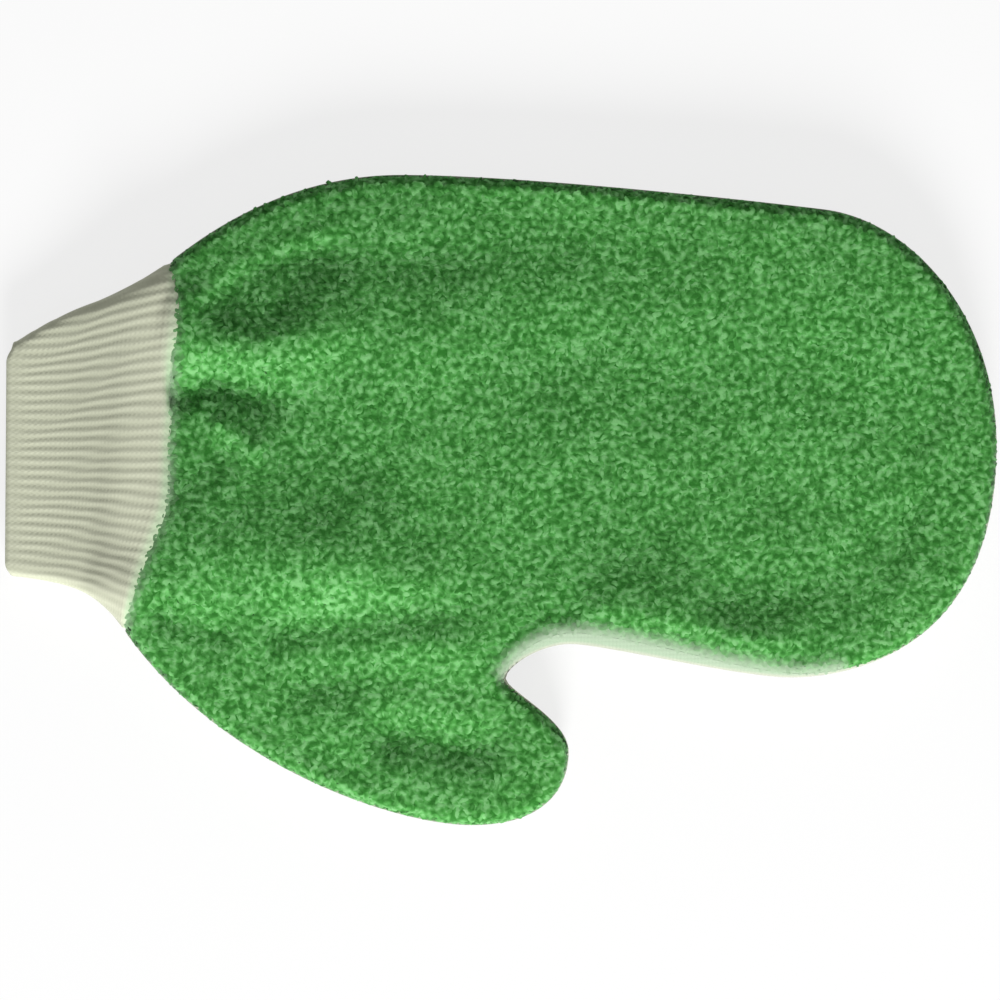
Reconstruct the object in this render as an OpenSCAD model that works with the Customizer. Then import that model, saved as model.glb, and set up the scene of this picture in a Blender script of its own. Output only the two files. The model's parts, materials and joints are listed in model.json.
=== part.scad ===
// Grooming mitt with a looped pile face, a thumb and a knitted cuff folded double.
// Millimetres. The mitt lies on its back: the pile face is up, the fingers point to +X,
// the thumb to -Y and the cuff mouth to -X. The origin is under the middle of the mitt.
// The cloth bends along three lines: the wrist, the knuckles and the root of the thumb.

/* [Outline] */
// Overall length, from the cuff mouth to the finger tip
mitt_length = 280; // [250:1:310]
// Width of the hand, from its upper edge to the shoulder of the thumb crotch
hand_width = 132.3; // [120:0.1:145]
// Reach of the thumb below the shoulder of the crotch
thumb_reach = 51; // [44:0.5:58]
// Length of the cuff along its upper edge
cuff_upper = 47.5; // [40:0.5:56]
// Length of the cuff along its lower edge
cuff_lower = 34.2; // [28:0.2:42]
// Width of the cuff mouth laid flat
mouth_width = 64; // [56:1:72]
// Drop of the mouth's upper corner below the hand's upper edge
mouth_drop = 49; // [44:0.5:54]
// Drop of the wrist seam's upper end below the hand's upper edge
wrist_drop = 24; // [18:0.5:30]
// Rise of the wrist seam's lower end above the crotch
heel_rise = 13.4; // [11.4:0.2:17]
// Distance of the hand's highest point from the cuff mouth
shoulder_at = 112; // [100:1:124]
// Distance of the upper finger corner from the tip
upper_corner = 48; // [42:1:54]
// Drop of the upper finger corner below the hand's upper edge
finger_taper = 9.8; // [6:0.2:14]
// Drop of the finger tip below the hand's upper edge
tip_drop = 76.2; // [70:0.2:82]
// Distance of the lower finger corner from the tip
lower_corner = 58; // [52:1:64]
// Width of the finger pocket, from the hand's upper edge to its lowest point
finger_width = 141.7; // [132:0.1:150]
// Distance of the crotch's shoulder from the finger tip
crotch_at = 120; // [112:1:128]
// Depth of the crotch behind its shoulder
crotch_depth = 18.4; // [15:0.2:22]
// Drop of the crotch below its shoulder
crotch_drop = 9.7; // [7:0.1:12]
// Reach of the thumb end past the crotch
thumb_overhang = 17.8; // [14:0.2:22]
// Height of the thumb end above the thumb's lowest point
thumb_end_rise = 20.7; // [19:0.1:24]
// Distance of the thumb's lowest point behind the thumb end
thumb_round = 27.4; // [24:0.2:32]

/* [Thickness] */
// Height of the pile face above the edge seam
front_height = 14; // [11:0.5:18]
// Depth of the back below the edge seam
back_height = 8; // [6:0.5:10]
// Width of the rounded rim beside the edge seam
rim_width = 12; // [10.5:0.5:14]
// Thickness of the looped pile face
face_thickness = 3; // [2:0.1:4]
// Thickness of the jersey lining under the face
lining_thickness = 1.2; // [0.8:0.1:1.8]
// Thickness of the jersey back
back_thickness = 1.6; // [1:0.1:2.2]
// Thickness of one layer of the rib knit
rib_thickness = 1.5; // [1:0.1:2]
// Height of the cuff at its mouth
mouth_height = 13; // [10:0.5:16]
// Gap between two layers that lie on each other
layer_gap = 0.05; // [0.02:0.01:0.15]

/* [Seams] */
// Width of the turned-in seam allowance
seam_width = 5; // [3:0.5:7]
// Thickness of the turned-in seam allowance
seam_thickness = 1.6; // [1:0.1:2.4]
// Gap between the allowance and the layers that it is sewn to
seam_gap = 0.2; // [0.15:0.01:0.4]

/* [Flex lines] */
// Distance of the knuckle line from the finger tip
knuckle_at = 110; // [100:1:112]
// Bend of the fingers towards the face
finger_curl = 60; // [40:1:70]
// Bend of the fingers towards the back
finger_back = 15; // [5:1:20]
// Bend of the thumb towards the face
thumb_fold = 60; // [40:1:70]
// Bend of the thumb towards the back
thumb_back_bend = 15; // [5:1:20]
// Slope of the thumb line, rising towards the wrist
thumb_slope = 0; // [-3:0.5:1]
// Bend of the cuff either way
cuff_flex = 35; // [20:1:40]
// Half of the clear space left at a flex line
flex_gap = 0.2; // [0.15:0.01:0.4]

/* [Folds] */
// Strength of the folds in the pile face, 1 for the mitt as it lies
fold_strength = 1; // [0:0.1:1.2]
// Distance over which a ridge dies away beside a flex line
fold_fade = 8; // [6:1:12]
// Thickness of the pile face where a crease presses it flat
pressed_thickness = 0.8; // [0.6:0.1:1.5]

/* [Hidden] */
green = [0.28, 0.55, 0.26];
cream = [0.80, 0.80, 0.72];
knit = [0.74, 0.74, 0.66];
thread = [0.90, 0.90, 0.84];
// Steps round a rim, from the seam to the flat
rim_steps = 5;
// Rings of points from the edge of a folded flat to its middle, and steps along each of its cuts
fold_rings = 8;
cut_steps = 11;
// Stations along the cuff
cuff_steps = 7;
// Share of the cuff's length taken by the fold at its mouth
fold_share = 0.035;

x_mouth = -mitt_length / 2;
x_tip = mitt_length / 2;
y_top = (hand_width + thumb_reach) / 2;
y_low = -y_top;
total_height = front_height + back_height;
seam_z = back_height;

// Outline nodes: x, y, direction of travel, and the curve's handles before and after it,
// as shares of the distance to the next node.
wrist_upper = [x_mouth + cuff_upper, y_top - wrist_drop, 34, 0.52, 0.09];
shoulder = [x_mouth + shoulder_at, y_top, 0, 0.52, 0.32];
upper_end = [x_tip - upper_corner, y_top - finger_taper, -8, 0.04, 0.3];
finger_tip = [x_tip, y_top - tip_drop, -90, 0.445, 0.7];
lower_end = [x_tip - lower_corner, y_top - finger_width, 180, 0.14, 0.235];
crotch_shoulder = [x_tip - crotch_at, y_top - hand_width, 180, 0.14, 0.43];
crotch = [crotch_shoulder.x - crotch_depth, crotch_shoulder.y - crotch_drop, -90, 0.155, 0.12];
thumb_end = [crotch.x + thumb_overhang, y_low + thumb_end_rise, -90, 0.33, 0.235];
thumb_low = [thumb_end.x - thumb_round, y_low, 180, 0.67, 0.19];
wrist_lower = [x_mouth + cuff_lower, crotch.y + heel_rise, 125, 0.415, 0];
mouth_upper = [x_mouth, y_top - mouth_drop, 33, 0, 0.56];
mouth_lower = [x_mouth, y_top - mouth_drop - mouth_width, -5, 0, 0.53];
cuff_lower_end = [wrist_lower.x, wrist_lower.y, -55, 0.36, 0];

function toward(angle) = [cos(angle), sin(angle)];
function unit(v) = v / norm(v);
function right_of(v) = [v.y, -v.x];
function spot(n) = [n.x, n.y];

// Points of the smooth curve from node a to node b, without the last one
function stretch(a, b, steps) = [
    for (i = [0 : steps - 1])
        let (
            t = i / steps,
            apart = norm(spot(b) - spot(a)),
            p1 = spot(a) + a[4] * apart * toward(a[2]),
            p2 = spot(b) - b[3] * apart * toward(b[2])
        )
        pow(1 - t, 3) * spot(a) + 3 * pow(1 - t, 2) * t * p1
        + 3 * (1 - t) * t * t * p2 + t * t * t * spot(b)
];

upper_line = concat(
    stretch(wrist_upper, shoulder, 6),
    stretch(shoulder, upper_end, 5),
    stretch(upper_end, finger_tip, 9),
    [spot(finger_tip)]
);
lower_line = concat(
    stretch(finger_tip, lower_end, 9),
    stretch(lower_end, crotch_shoulder, 5),
    stretch(crotch_shoulder, crotch, 6),
    [spot(crotch)]
);
thumb_line = concat(
    stretch(crotch, thumb_end, 7),
    stretch(thumb_end, thumb_low, 7),
    stretch(thumb_low, wrist_lower, 9),
    [spot(wrist_lower)]
);

// The wrist, knuckle and thumb flex lines, and the directions that lie across them
wrist_along = unit(spot(wrist_upper) - spot(wrist_lower));
wrist_across = right_of(wrist_along);
knuckle_x = x_tip - knuckle_at;
thumb_along = [-cos(thumb_slope), sin(thumb_slope)];
thumb_across = [-sin(thumb_slope), -cos(thumb_slope)];

// The knuckle and thumb lines lie in the lining, and the wrist line half way up.
flex_z = total_height - face_thickness - layer_gap - lining_thickness / 2;
wrist_z = total_height / 2;

// Half of the cloth left out at a flex line, at height z: a notch that closes when fully bent
function notch(z, line_z, forward, backward) =
    flex_gap + (z > line_z ? (z - line_z) * tan(forward / 2) : (line_z - z) * tan(backward / 2));
function finger_notch(z) = notch(z, flex_z, finger_curl, finger_back);
function thumb_notch(z) = notch(z, flex_z, thumb_fold, thumb_back_bend);
function wrist_notch(z) = notch(z, wrist_z, cuff_flex, cuff_flex);
finger_widest = max(finger_notch(0), finger_notch(total_height));
thumb_widest = max(thumb_notch(0), thumb_notch(total_height));
wrist_widest = max(wrist_notch(0), wrist_notch(total_height));

// The stretch of a line that lies more than `off` from p on the side that v points to.
// It starts or ends at the crossing, and its other points lie more than `keep` from p.
function beyond(line, p, v, off, keep) = [
    for (i = [0 : 1 : len(line) - 1])
        let (
            s = (line[i] - p) * v - off,
            s0 = i > 0 ? (line[i - 1] - p) * v - off : s,
            crossing = s * s0 < 0 ? [line[i - 1] + (line[i] - line[i - 1]) * s0 / (s0 - s)] : []
        )
        each concat(crossing, s + off > keep + 0.5 ? [line[i]] : [])
];

// Pairs of a point on the edge and the move that takes it 1 mm in from the edge.
// The first and last points move along the cuts c0 and c1 that they stand on.
function edge(line, c0, c1) = [
    for (i = [0 : 1 : len(line) - 1])
        let (
            last = len(line) - 1,
            n = unit(right_of(line[min(i + 1, last)] - line[max(i - 1, 0)]))
        )
        [line[i], i == 0 ? c0 / (n * c0) : i == last ? c1 / (n * c1) : n]
];

// The edges of each region at height z, in the order that goes round it.
// `back_off` keeps the palm's edges further from the wrist line.
function past_wrist(line, off) = beyond(line, spot(wrist_upper), wrist_across, off, max(off, wrist_widest));
function past_knuckles(line, way, z) =
    beyond(line, [knuckle_x, 0], [way, 0], finger_notch(z), finger_widest);
function past_thumb(line, way, z) =
    beyond(line, spot(crotch), way * thumb_across, thumb_notch(z), thumb_widest);
function palm_edges(z, back_off = 0) =
    let (off = back_off > 0 ? wrist_widest + back_off : wrist_notch(z))
    [
        edge(past_knuckles(past_wrist(upper_line, off), -1, z), -wrist_along, [0, -1]),
        edge(past_thumb(past_knuckles(lower_line, -1, z), -1, z), [0, 1], thumb_along),
        edge(past_wrist(past_thumb(thumb_line, -1, z), off), -thumb_along, wrist_along)
    ];
function finger_edges(z) = [
    edge(
        concat(
            past_knuckles(upper_line, 1, z),
            [for (p = past_knuckles(lower_line, 1, z)) if (p.x < x_tip - 0.01) p]
        ),
        [0, -1], [0, 1]
    )
];
function thumb_edges(z) = [edge(past_thumb(thumb_line, 1, z), thumb_along, -thumb_along)];
palm_at = function (z) palm_edges(z);
finger_at = function (z) finger_edges(z);
thumb_at = function (z) thumb_edges(z);

// The main folds of the face: path, height, half width, and the lengths over which its ends fade.
// Path points are shares of half the mitt's length and of half its width.
folds = [
    // At the cuff: the upper ridge, the crease under it, the dip over it, and the lower ridge
    [[[-0.69, 0.57], [-0.5, 0.44], [-0.22, 0.57]], 4.5, 9, 2, 28],
    [[[-0.67, 0.32], [-0.54, 0.39], [-0.41, 0.25]], -4, 5, 2, 14],
    [[[-0.63, 0.45], [-0.51, 0.73], [-0.4, 0.76], [-0.16, 0.74], [0.2, 0.77]], -1.5, 7, 8, 55],
    [[[-0.74, -0.15], [-0.5, -0.2], [-0.24, -0.23], [-0.01, -0.57]], 4.5, 16, 2, 30],
    // In the palm: the swells between the ridges and before the knuckles, and the creases
    [[[-0.59, 0.14], [-0.39, -0.21], [-0.19, 0.09]], 2, 16, 12, 18],
    [[[-0.43, 0.68], [-0.21, 0.46], [0.14, 0.52]], 1.5, 12, 10, 25],
    [[[-0.71, -0.34], [-0.51, -0.41]], -2, 5, 4, 8],
    [[[-0.5, -0.39], [-0.26, -0.36], [-0.01, -0.33]], -3.5, 7, 8, 18],
    // The slope to the upper edge, the hollow at the knuckles and the swell beside the crotch
    [[[-0.56, 0.75], [-0.29, 1.01], [0.14, 0.79], [0.64, 0.71]], -3.5, 16, 10, 20],
    [[[-0.14, 0.45], [0.21, 0.43], [0.5, 0.29]], -2.5, 16, 20, 20],
    [[[0.14, -0.4], [0.36, -0.36], [0.61, -0.59]], 4.5, 16, 10, 15],
    // In the fingers: two hollows, the dent of the little finger and the slope to the tip
    [[[0.43, 0.49], [0.68, 0.35], [0.89, 0.16]], -2.5, 16, 15, 8],
    [[[0.43, 0.08], [0.68, -0.01], [0.86, -0.11]], -2, 16, 15, 8],
    [[[0.34, -0.33], [0.44, -0.31], [0.66, -0.24], [0.77, -0.26]], -2, 10, 18, 18],
    [[[0.8, 0.7], [0.89, 0.33], [0.89, -0.02], [0.8, -0.28]], -1.5, 13, 15, 15],
    // In the thumb: its root, its middle and its heel side
    [[[-0.47, -0.57], [-0.14, -0.53], [0.01, -0.65]], -2, 7, 14, 14],
    [[[-0.49, -0.57], [-0.23, -0.71], [0.06, -0.75]], -2, 7, 14, 12],
    [[[-0.6, -0.68], [-0.43, -0.82], [-0.21, -0.89]], -3.5, 8, 8, 10]
];

// The straight legs of each fold: start, vector, and the distance run before it
fold_legs = [
    for (f = folds)
        let (path = [for (q = f[0]) [q.x * x_tip, q.y * y_top]])
        [
            for (i = 0, run = 0; i < len(path) - 1; run = run + norm(path[i + 1] - path[i]), i = i + 1)
                [path[i], path[i + 1] - path[i], run]
        ]
];

function soft(t) = let (u = min(max(t, 0), 1)) u * u * (3 - 2 * u);
function sum(list) = [for (v = list) 1] * list;

// Height at p of a fold with the given legs
function fold_at(p, fold, legs) =
    let (
        near = [
            for (leg = legs)
                let (t = min(max((p - leg[0]) * leg[1] / (leg[1] * leg[1]), 0), 1))
                [norm(p - leg[0] - t * leg[1]), leg[2] + t * norm(leg[1])]
        ],
        gap = min([for (n = near) n[0]]),
        run = [for (n = near) if (n[0] == gap) n[1]][0],
        last = legs[len(legs) - 1],
        left = last[2] + norm(last[1]) - run
    )
    fold[1] * exp(-pow(gap / fold[2], 2)) * soft(run / fold[3]) * soft(left / fold[4]);
function folds_at(p) =
    fold_strength * sum([for (i = [0 : len(folds) - 1]) fold_at(p, folds[i], fold_legs[i])]);

// 0 up to `from` millimetres off a flex line, then rising to 1
function clear_of(off, from) = soft((abs(off) - from) / fold_fade);

// The folds at p. Ridges stay off the flex lines, where they would meet when the mitt bends.
face_folds = function (p)
    let (
        height = folds_at(p),
        off_thumb = (p - spot(crotch)) * thumb_across,
        off_wrist = (p - spot(wrist_upper)) * wrist_across
    )
    height < 0 ? height
    : height * clear_of(p.x - knuckle_x, finger_widest) * clear_of(off_wrist, wrist_widest)
        * (p.x > crotch_shoulder.x ? 1 : clear_of(off_thumb, thumb_widest));

// A crease presses the face thinner, and the lining under it stays level.
face_sinks = [face_thickness - pressed_thickness, 0];
lining_sinks = [0, 0];

// Both triangles of a four-cornered patch
function patch(a, b, c, d) = [[a, b, c], [a, c, d]];
function turned(faces, turn) = [for (f = faces) turn ? [for (i = [len(f) - 1 : -1 : 0]) f[i]] : f];

// A domed layer of cloth over a region, from `outer` to `inner` millimetres under its outside.
// `edges_at` gives the region's edges at a height. `side` is 1 for the front and -1 for the back.
// `sinks`, where given, are the depths to which folds may press the outer and the inner skin.
module layer(edges_at, height, outer, inner, side, sinks = []) {
    folded = len(sinks) > 0;
    edges = edges_at(seam_z);
    parts = len(edges);
    sizes = [for (e = edges) len(e)];
    starts = [for (i = [0 : parts - 1]) i == 0 ? 0 : i == 1 ? sizes[0] : sizes[0] + sizes[1]];
    count = starts[parts - 1] + sizes[parts - 1];
    between = folded ? cut_steps - 1 : 0;
    ring_size = count + parts * between;
    depths = [outer, inner];
    function raised(p, s, z, share) =
        [p.x, p.y, z + (folded ? share * max(face_folds(p), -sinks[s]) : 0)];

    // Rows of points from the seam to the flat
    rim_points = [
        for (s = [0, 1])
            for (r = [0 : rim_steps])
                let (
                    a = 90 * r / rim_steps,
                    in = depths[s] + (rim_width - depths[s]) * (1 - cos(a)),
                    z = seam_z + side * (height - depths[s]) * sin(a)
                )
                for (e = edges_at(z))
                    for (m = e)
                        raised(m[0] + m[1] * in, s, z, soft(in / rim_width))
    ];
    function at(s, r, k) = (s * (rim_steps + 1) + r) * count + k;
    function flat_point(s, k) = let (p = rim_points[at(s, rim_steps, k)]) [p.x, p.y];
    function flat_z(s) = seam_z + side * (height - depths[s]);

    // Points along the cuts of the flat, then its rings and its middle
    cut_points = [
        for (s = [0, 1])
            for (e = [0 : parts - 1])
                let (
                    a = flat_point(s, starts[e] + sizes[e] - 1),
                    b = flat_point(s, starts[(e + 1) % parts])
                )
                for (j = [1 : 1 : between])
                    raised(a + (b - a) * j / cut_steps, s, flat_z(s), 1)
    ];
    edge_points = concat(rim_points, cut_points);
    function on_cut(s, e, j) = len(rim_points) + (s * parts + e) * between + j - 1;
    rings = [
        for (s = [0, 1])
            [
                for (e = [0 : parts - 1])
                    each concat(
                        [for (k = [starts[e] : starts[e] + sizes[e] - 1]) at(s, rim_steps, k)],
                        [for (j = [1 : 1 : between]) on_cut(s, e, j)]
                    )
            ]
    ];
    middles = [
        for (ring = rings)
            let (all = [for (i = ring) edge_points[i]])
            [sum([for (p = all) p.x]), sum([for (p = all) p.y])] / ring_size
    ];
    inner_points = !folded ? [] : [
        for (s = [0, 1])
            each concat(
                [
                    for (q = [1 : fold_rings - 1])
                        for (i = rings[s])
                            let (p = [edge_points[i].x, edge_points[i].y])
                            raised(p + (middles[s] - p) * q / fold_rings, s, flat_z(s), 1)
                ],
                [raised(middles[s], s, flat_z(s), 1)]
            )
    ];
    function in_flat(s, q, i) =
        q == 0 ? rings[s][i % ring_size]
        : len(edge_points) + s * ((fold_rings - 1) * ring_size + 1) + (q - 1) * ring_size + i % ring_size;

    rims = [
        for (e = [0 : parts - 1])
            for (k = [starts[e] : starts[e] + sizes[e] - 2])
                for (r = [0 : rim_steps - 1])
                    each concat(
                        patch(at(0, r, k), at(0, r, k + 1), at(0, r + 1, k + 1), at(0, r + 1, k)),
                        patch(at(1, r, k), at(1, r + 1, k), at(1, r + 1, k + 1), at(1, r, k + 1))
                    )
    ];
    feet = [
        for (e = [0 : parts - 1])
            for (k = [starts[e] : starts[e] + sizes[e] - 2])
                each patch(at(0, 0, k), at(1, 0, k), at(1, 0, k + 1), at(0, 0, k + 1))
    ];
    flats = [
        for (s = [0, 1])
            each turned(
                !folded ? [rings[s]] : [
                    for (i = [0 : ring_size - 1])
                        each concat(
                            [
                                for (q = [0 : fold_rings - 2])
                                    each patch(
                                        in_flat(s, q, i), in_flat(s, q, i + 1),
                                        in_flat(s, q + 1, i + 1), in_flat(s, q + 1, i)
                                    )
                            ],
                            [[
                                in_flat(s, fold_rings - 1, i), in_flat(s, fold_rings - 1, i + 1),
                                in_flat(s, fold_rings, 0)
                            ]]
                        )
                ],
                s == 1
            )
    ];
    cuts = [
        for (e = [0 : parts - 1])
            let (
                k = starts[e] + sizes[e] - 1,
                n = starts[(e + 1) % parts],
                across = [
                    for (s = [0, 1])
                        concat(
                            [at(s, rim_steps, k)],
                            [for (j = [1 : 1 : between]) on_cut(s, e, j)],
                            [at(s, rim_steps, n)]
                        )
                ]
            )
            each concat(
                [
                    for (r = [0 : rim_steps - 1])
                        each concat(
                            patch(at(0, r, k), at(1, r, k), at(1, r + 1, k), at(0, r + 1, k)),
                            patch(at(0, r, n), at(0, r + 1, n), at(1, r + 1, n), at(1, r, n))
                        )
                ],
                [
                    for (j = [0 : between])
                        each patch(across[0][j], across[1][j], across[1][j + 1], across[0][j + 1])
                ]
            )
    ];
    polyhedron(
        concat(edge_points, inner_points),
        turned(concat(rims, feet, flats, cuts), side < 0)
    );
}

// A flat strip of seam allowance along one edge
module allowance(line) {
    from = face_thickness + layer_gap + lining_thickness + seam_gap;
    count = len(line);
    points = [
        for (c = [[from, 1], [from + seam_width, 1], [from + seam_width, -1], [from, -1]])
            for (m = line)
                [
                    m[0].x + m[1].x * c[0],
                    m[0].y + m[1].y * c[0],
                    seam_z + c[1] * seam_thickness / 2
                ]
    ];
    sides = [
        for (c = [0 : 3])
            for (k = [0 : count - 2])
                let (n = (c + 1) % 4)
                each patch(c * count + k, c * count + k + 1, n * count + k + 1, n * count + k)
    ];
    ends = [
        [0, count, 2 * count, 3 * count],
        [4 * count - 1, 3 * count - 1, 2 * count - 1, count - 1]
    ];
    polyhedron(points, concat(sides, ends));
}

// A closed section between two side points, `depth` under its outside.
// Each side is a pair: its point, and the move that takes it 1 mm in from the edge.
function section(upper, lower, side_z, rise, fall, rim, depth) =
    let (
        steps = [for (r = [0 : rim_steps]) 90 * r / rim_steps],
        in = function (a) depth + (rim - depth) * (1 - cos(a)),
        over = function (m, a) [m[0] + m[1] * in(a), (rise - depth) * sin(a)],
        under = function (m, a) [m[0] + m[1] * in(a), -(fall - depth) * sin(a)]
    )
    [
        for (q = concat(
            [for (a = steps) over(upper, a)],
            [for (a = steps) over(lower, 90 - a)],
            [for (a = steps) if (a > 0) under(lower, a)],
            [for (a = steps) if (a < 90) under(upper, 90 - a)]
        ))
            [q[0].x, q[0].y, side_z + q[1]]
    ];

// A tube through closed outer sections, with the matching inner sections as its bore
module tube(outers, inners) {
    stations = len(outers);
    count = len(outers[0]);
    points = [for (s = concat(outers, inners)) each s];
    function at(w, j, k) = (w * stations + j) * count + k % count;
    walls = [
        for (j = [0 : stations - 2])
            for (k = [0 : count - 1])
                each concat(
                    patch(at(0, j, k), at(0, j + 1, k), at(0, j + 1, k + 1), at(0, j, k + 1)),
                    patch(at(1, j, k), at(1, j, k + 1), at(1, j + 1, k + 1), at(1, j + 1, k))
                )
    ];
    ends = [
        for (k = [0 : count - 1])
            each concat(
                patch(at(0, 0, k), at(0, 0, k + 1), at(1, 0, k + 1), at(1, 0, k)),
                patch(
                    at(0, stations - 1, k), at(1, stations - 1, k),
                    at(1, stations - 1, k + 1), at(0, stations - 1, k + 1)
                )
            )
    ];
    polyhedron(points, concat(walls, ends));
}

// The cuff's side lines
cuff_upper_line = concat(stretch(mouth_upper, wrist_upper, 12), [spot(wrist_upper)]);
cuff_lower_line = concat(stretch(mouth_lower, cuff_lower_end, 12), [spot(wrist_lower)]);
function along(line, f) =
    let (
        s = f * (len(line) - 1),
        i = min(floor(s), len(line) - 2)
    )
    line[i] + (line[i + 1] - line[i]) * (s - i);

// The hand's end on the wrist line: its moves set the width of the rim there
hand_ends = [
    let (e = edge(upper_line, -wrist_along, [0, -1])) norm(e[0][1]),
    let (e = edge(thumb_line, [-1, 0], wrist_along)) norm(e[len(e) - 1][1])
];

// The cuff's section at share f of its length: it swells from the mouth to the wrist.
// Near the wrist line its points stop at the notch.
function cuff_section(f, depth) =
    let (
        swell = f * f * (3 - 2 * f),
        u = along(cuff_upper_line, f),
        l = along(cuff_lower_line, f),
        fall = mouth_height / 2 + (back_height - mouth_height / 2) * swell,
        points = section(
            [u, unit(l - u) * (1 + (hand_ends[0] - 1) * swell)],
            [l, unit(u - l) * (1 + (hand_ends[1] - 1) * swell)],
            fall,
            mouth_height / 2 + (front_height - mouth_height / 2) * swell, fall,
            mouth_height / 2 + (rim_width - mouth_height / 2) * swell, depth
        )
    )
    [
        for (p = points)
            let (short = ([p.x, p.y] - spot(wrist_upper)) * wrist_across + f * wrist_notch(p.z))
            [p.x - max(0, short) * wrist_across.x, p.y - max(0, short) * wrist_across.y, p.z]
    ];

module palm_face() {
    color(green)
        layer(palm_at, front_height, 0, face_thickness, 1, face_sinks);
}

module palm_lining() {
    from = face_thickness + layer_gap;
    color(cream)
        layer(palm_at, front_height, from, from + lining_thickness, 1, lining_sinks);
}

module palm_back() {
    color(cream)
        layer(palm_at, back_height, 0, back_thickness, -1);
}

// The allowances along the upper edge and the crotch stop short of the wrist seam.
module palm_edge_seam() {
    lines = palm_edges(seam_z - seam_thickness / 2, seam_width + seam_gap);
    color(thread) {
        allowance(lines[0]);
        allowance(lines[1]);
    }
}

// The overlocked allowance that joins the cuff to the hand, inside the hand's end
module wrist_seam() {
    depth = face_thickness + layer_gap + lining_thickness + seam_gap;
    ends = [for (off = [0.01, seam_width]) palm_edges(seam_z, off)];
    function ring(in) = [
        for (e = ends)
            section(e[0][0], e[2][len(e[2]) - 1], seam_z, front_height, back_height, rim_width, in)
    ];
    color(thread) tube(ring(depth), ring(depth + seam_thickness));
}

module finger_face() {
    color(green) layer(finger_at, front_height, 0, face_thickness, 1, face_sinks);
}

module finger_lining() {
    from = face_thickness + layer_gap;
    color(cream) layer(finger_at, front_height, from, from + lining_thickness, 1, lining_sinks);
}

module finger_back_panel() {
    color(cream) layer(finger_at, back_height, 0, back_thickness, -1);
}

module finger_edge_seam() {
    color(thread) allowance(finger_edges(seam_z - seam_thickness / 2)[0]);
}

module thumb_face() {
    color(green) layer(thumb_at, front_height, 0, face_thickness, 1, face_sinks);
}

module thumb_lining() {
    from = face_thickness + layer_gap;
    color(cream) layer(thumb_at, front_height, from, from + lining_thickness, 1, lining_sinks);
}

module thumb_back() {
    color(cream) layer(thumb_at, back_height, 0, back_thickness, -1);
}

module thumb_edge_seam() {
    color(thread) allowance(thumb_edges(seam_z - seam_thickness / 2)[0]);
}

// The outside of the folded cuff, with the fold that turns in at the mouth
module cuff_outer() {
    double = 2 * rib_thickness + layer_gap;
    shares = [for (j = [1 : cuff_steps]) j / cuff_steps];
    fold = [[0, 0.35], [0.4, 0.1], [1, 0]];
    color(knit)
        tube(
            concat(
                [for (q = fold) cuff_section(q[0] * fold_share, q[1] * double)],
                [for (f = concat([fold_share + 0.002], shares)) cuff_section(f, 0)]
            ),
            concat(
                [for (q = fold) cuff_section(q[0] * fold_share, (1 - q[1]) * double)],
                [for (f = concat([fold_share + 0.002], shares)) cuff_section(f, rib_thickness)]
            )
        );
}

// The inside of the folded cuff
module cuff_inner() {
    from = rib_thickness + layer_gap;
    shares = concat([fold_share + 0.005], [for (j = [1 : cuff_steps]) j / cuff_steps]);
    color(knit)
        tube(
            [for (f = shares) cuff_section(f, from)],
            [for (f = shares) cuff_section(f, from + rib_thickness)]
        );
}

palm_face();
palm_lining();
palm_back();
palm_edge_seam();
wrist_seam();
finger_face();
finger_lining();
finger_back_panel();
finger_edge_seam();
thumb_face();
thumb_lining();
thumb_back();
thumb_edge_seam();
cuff_outer();
cuff_inner();
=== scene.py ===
"""A looped-pile grooming mitt with a rib-knit cuff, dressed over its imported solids."""

import json
from functools import cache
from types import SimpleNamespace

import bpy
import numpy as np
from bpy.props import FloatProperty, FloatVectorProperty, IntProperty, PointerProperty
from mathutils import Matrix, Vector
from mathutils.geometry import delaunay_2d_cdt


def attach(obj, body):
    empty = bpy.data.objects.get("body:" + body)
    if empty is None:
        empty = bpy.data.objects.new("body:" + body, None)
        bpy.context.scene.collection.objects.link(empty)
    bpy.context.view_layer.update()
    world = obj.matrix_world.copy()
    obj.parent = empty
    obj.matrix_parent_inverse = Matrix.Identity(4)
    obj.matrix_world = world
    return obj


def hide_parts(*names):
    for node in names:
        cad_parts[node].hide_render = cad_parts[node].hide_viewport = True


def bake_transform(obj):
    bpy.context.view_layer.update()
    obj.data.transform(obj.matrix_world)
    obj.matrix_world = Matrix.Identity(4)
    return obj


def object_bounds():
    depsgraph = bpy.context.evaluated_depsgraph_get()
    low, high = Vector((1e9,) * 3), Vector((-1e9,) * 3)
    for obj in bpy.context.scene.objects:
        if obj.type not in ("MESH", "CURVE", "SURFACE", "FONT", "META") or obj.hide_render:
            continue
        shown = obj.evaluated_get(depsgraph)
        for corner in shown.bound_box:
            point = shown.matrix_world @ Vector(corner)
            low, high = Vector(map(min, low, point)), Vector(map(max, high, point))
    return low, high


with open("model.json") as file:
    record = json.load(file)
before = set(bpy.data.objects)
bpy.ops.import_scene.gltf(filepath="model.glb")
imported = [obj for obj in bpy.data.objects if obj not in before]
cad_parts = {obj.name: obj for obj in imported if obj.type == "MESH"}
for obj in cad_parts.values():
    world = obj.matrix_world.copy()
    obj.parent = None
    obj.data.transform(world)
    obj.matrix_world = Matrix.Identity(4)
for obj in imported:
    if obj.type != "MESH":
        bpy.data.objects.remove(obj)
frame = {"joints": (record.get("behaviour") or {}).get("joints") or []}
cad_box = [list(corner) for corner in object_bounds()]

bl_info = {
    "name": "Grooming mitt",
    "version": (1, 0, 0),
    "blender": (4, 5, 0),
    "location": "3D View > Sidebar > Mitt",
    "description": "Dresses the packed mitt in looped pile, jersey and rib knit",
    "category": "Object",
}

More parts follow.
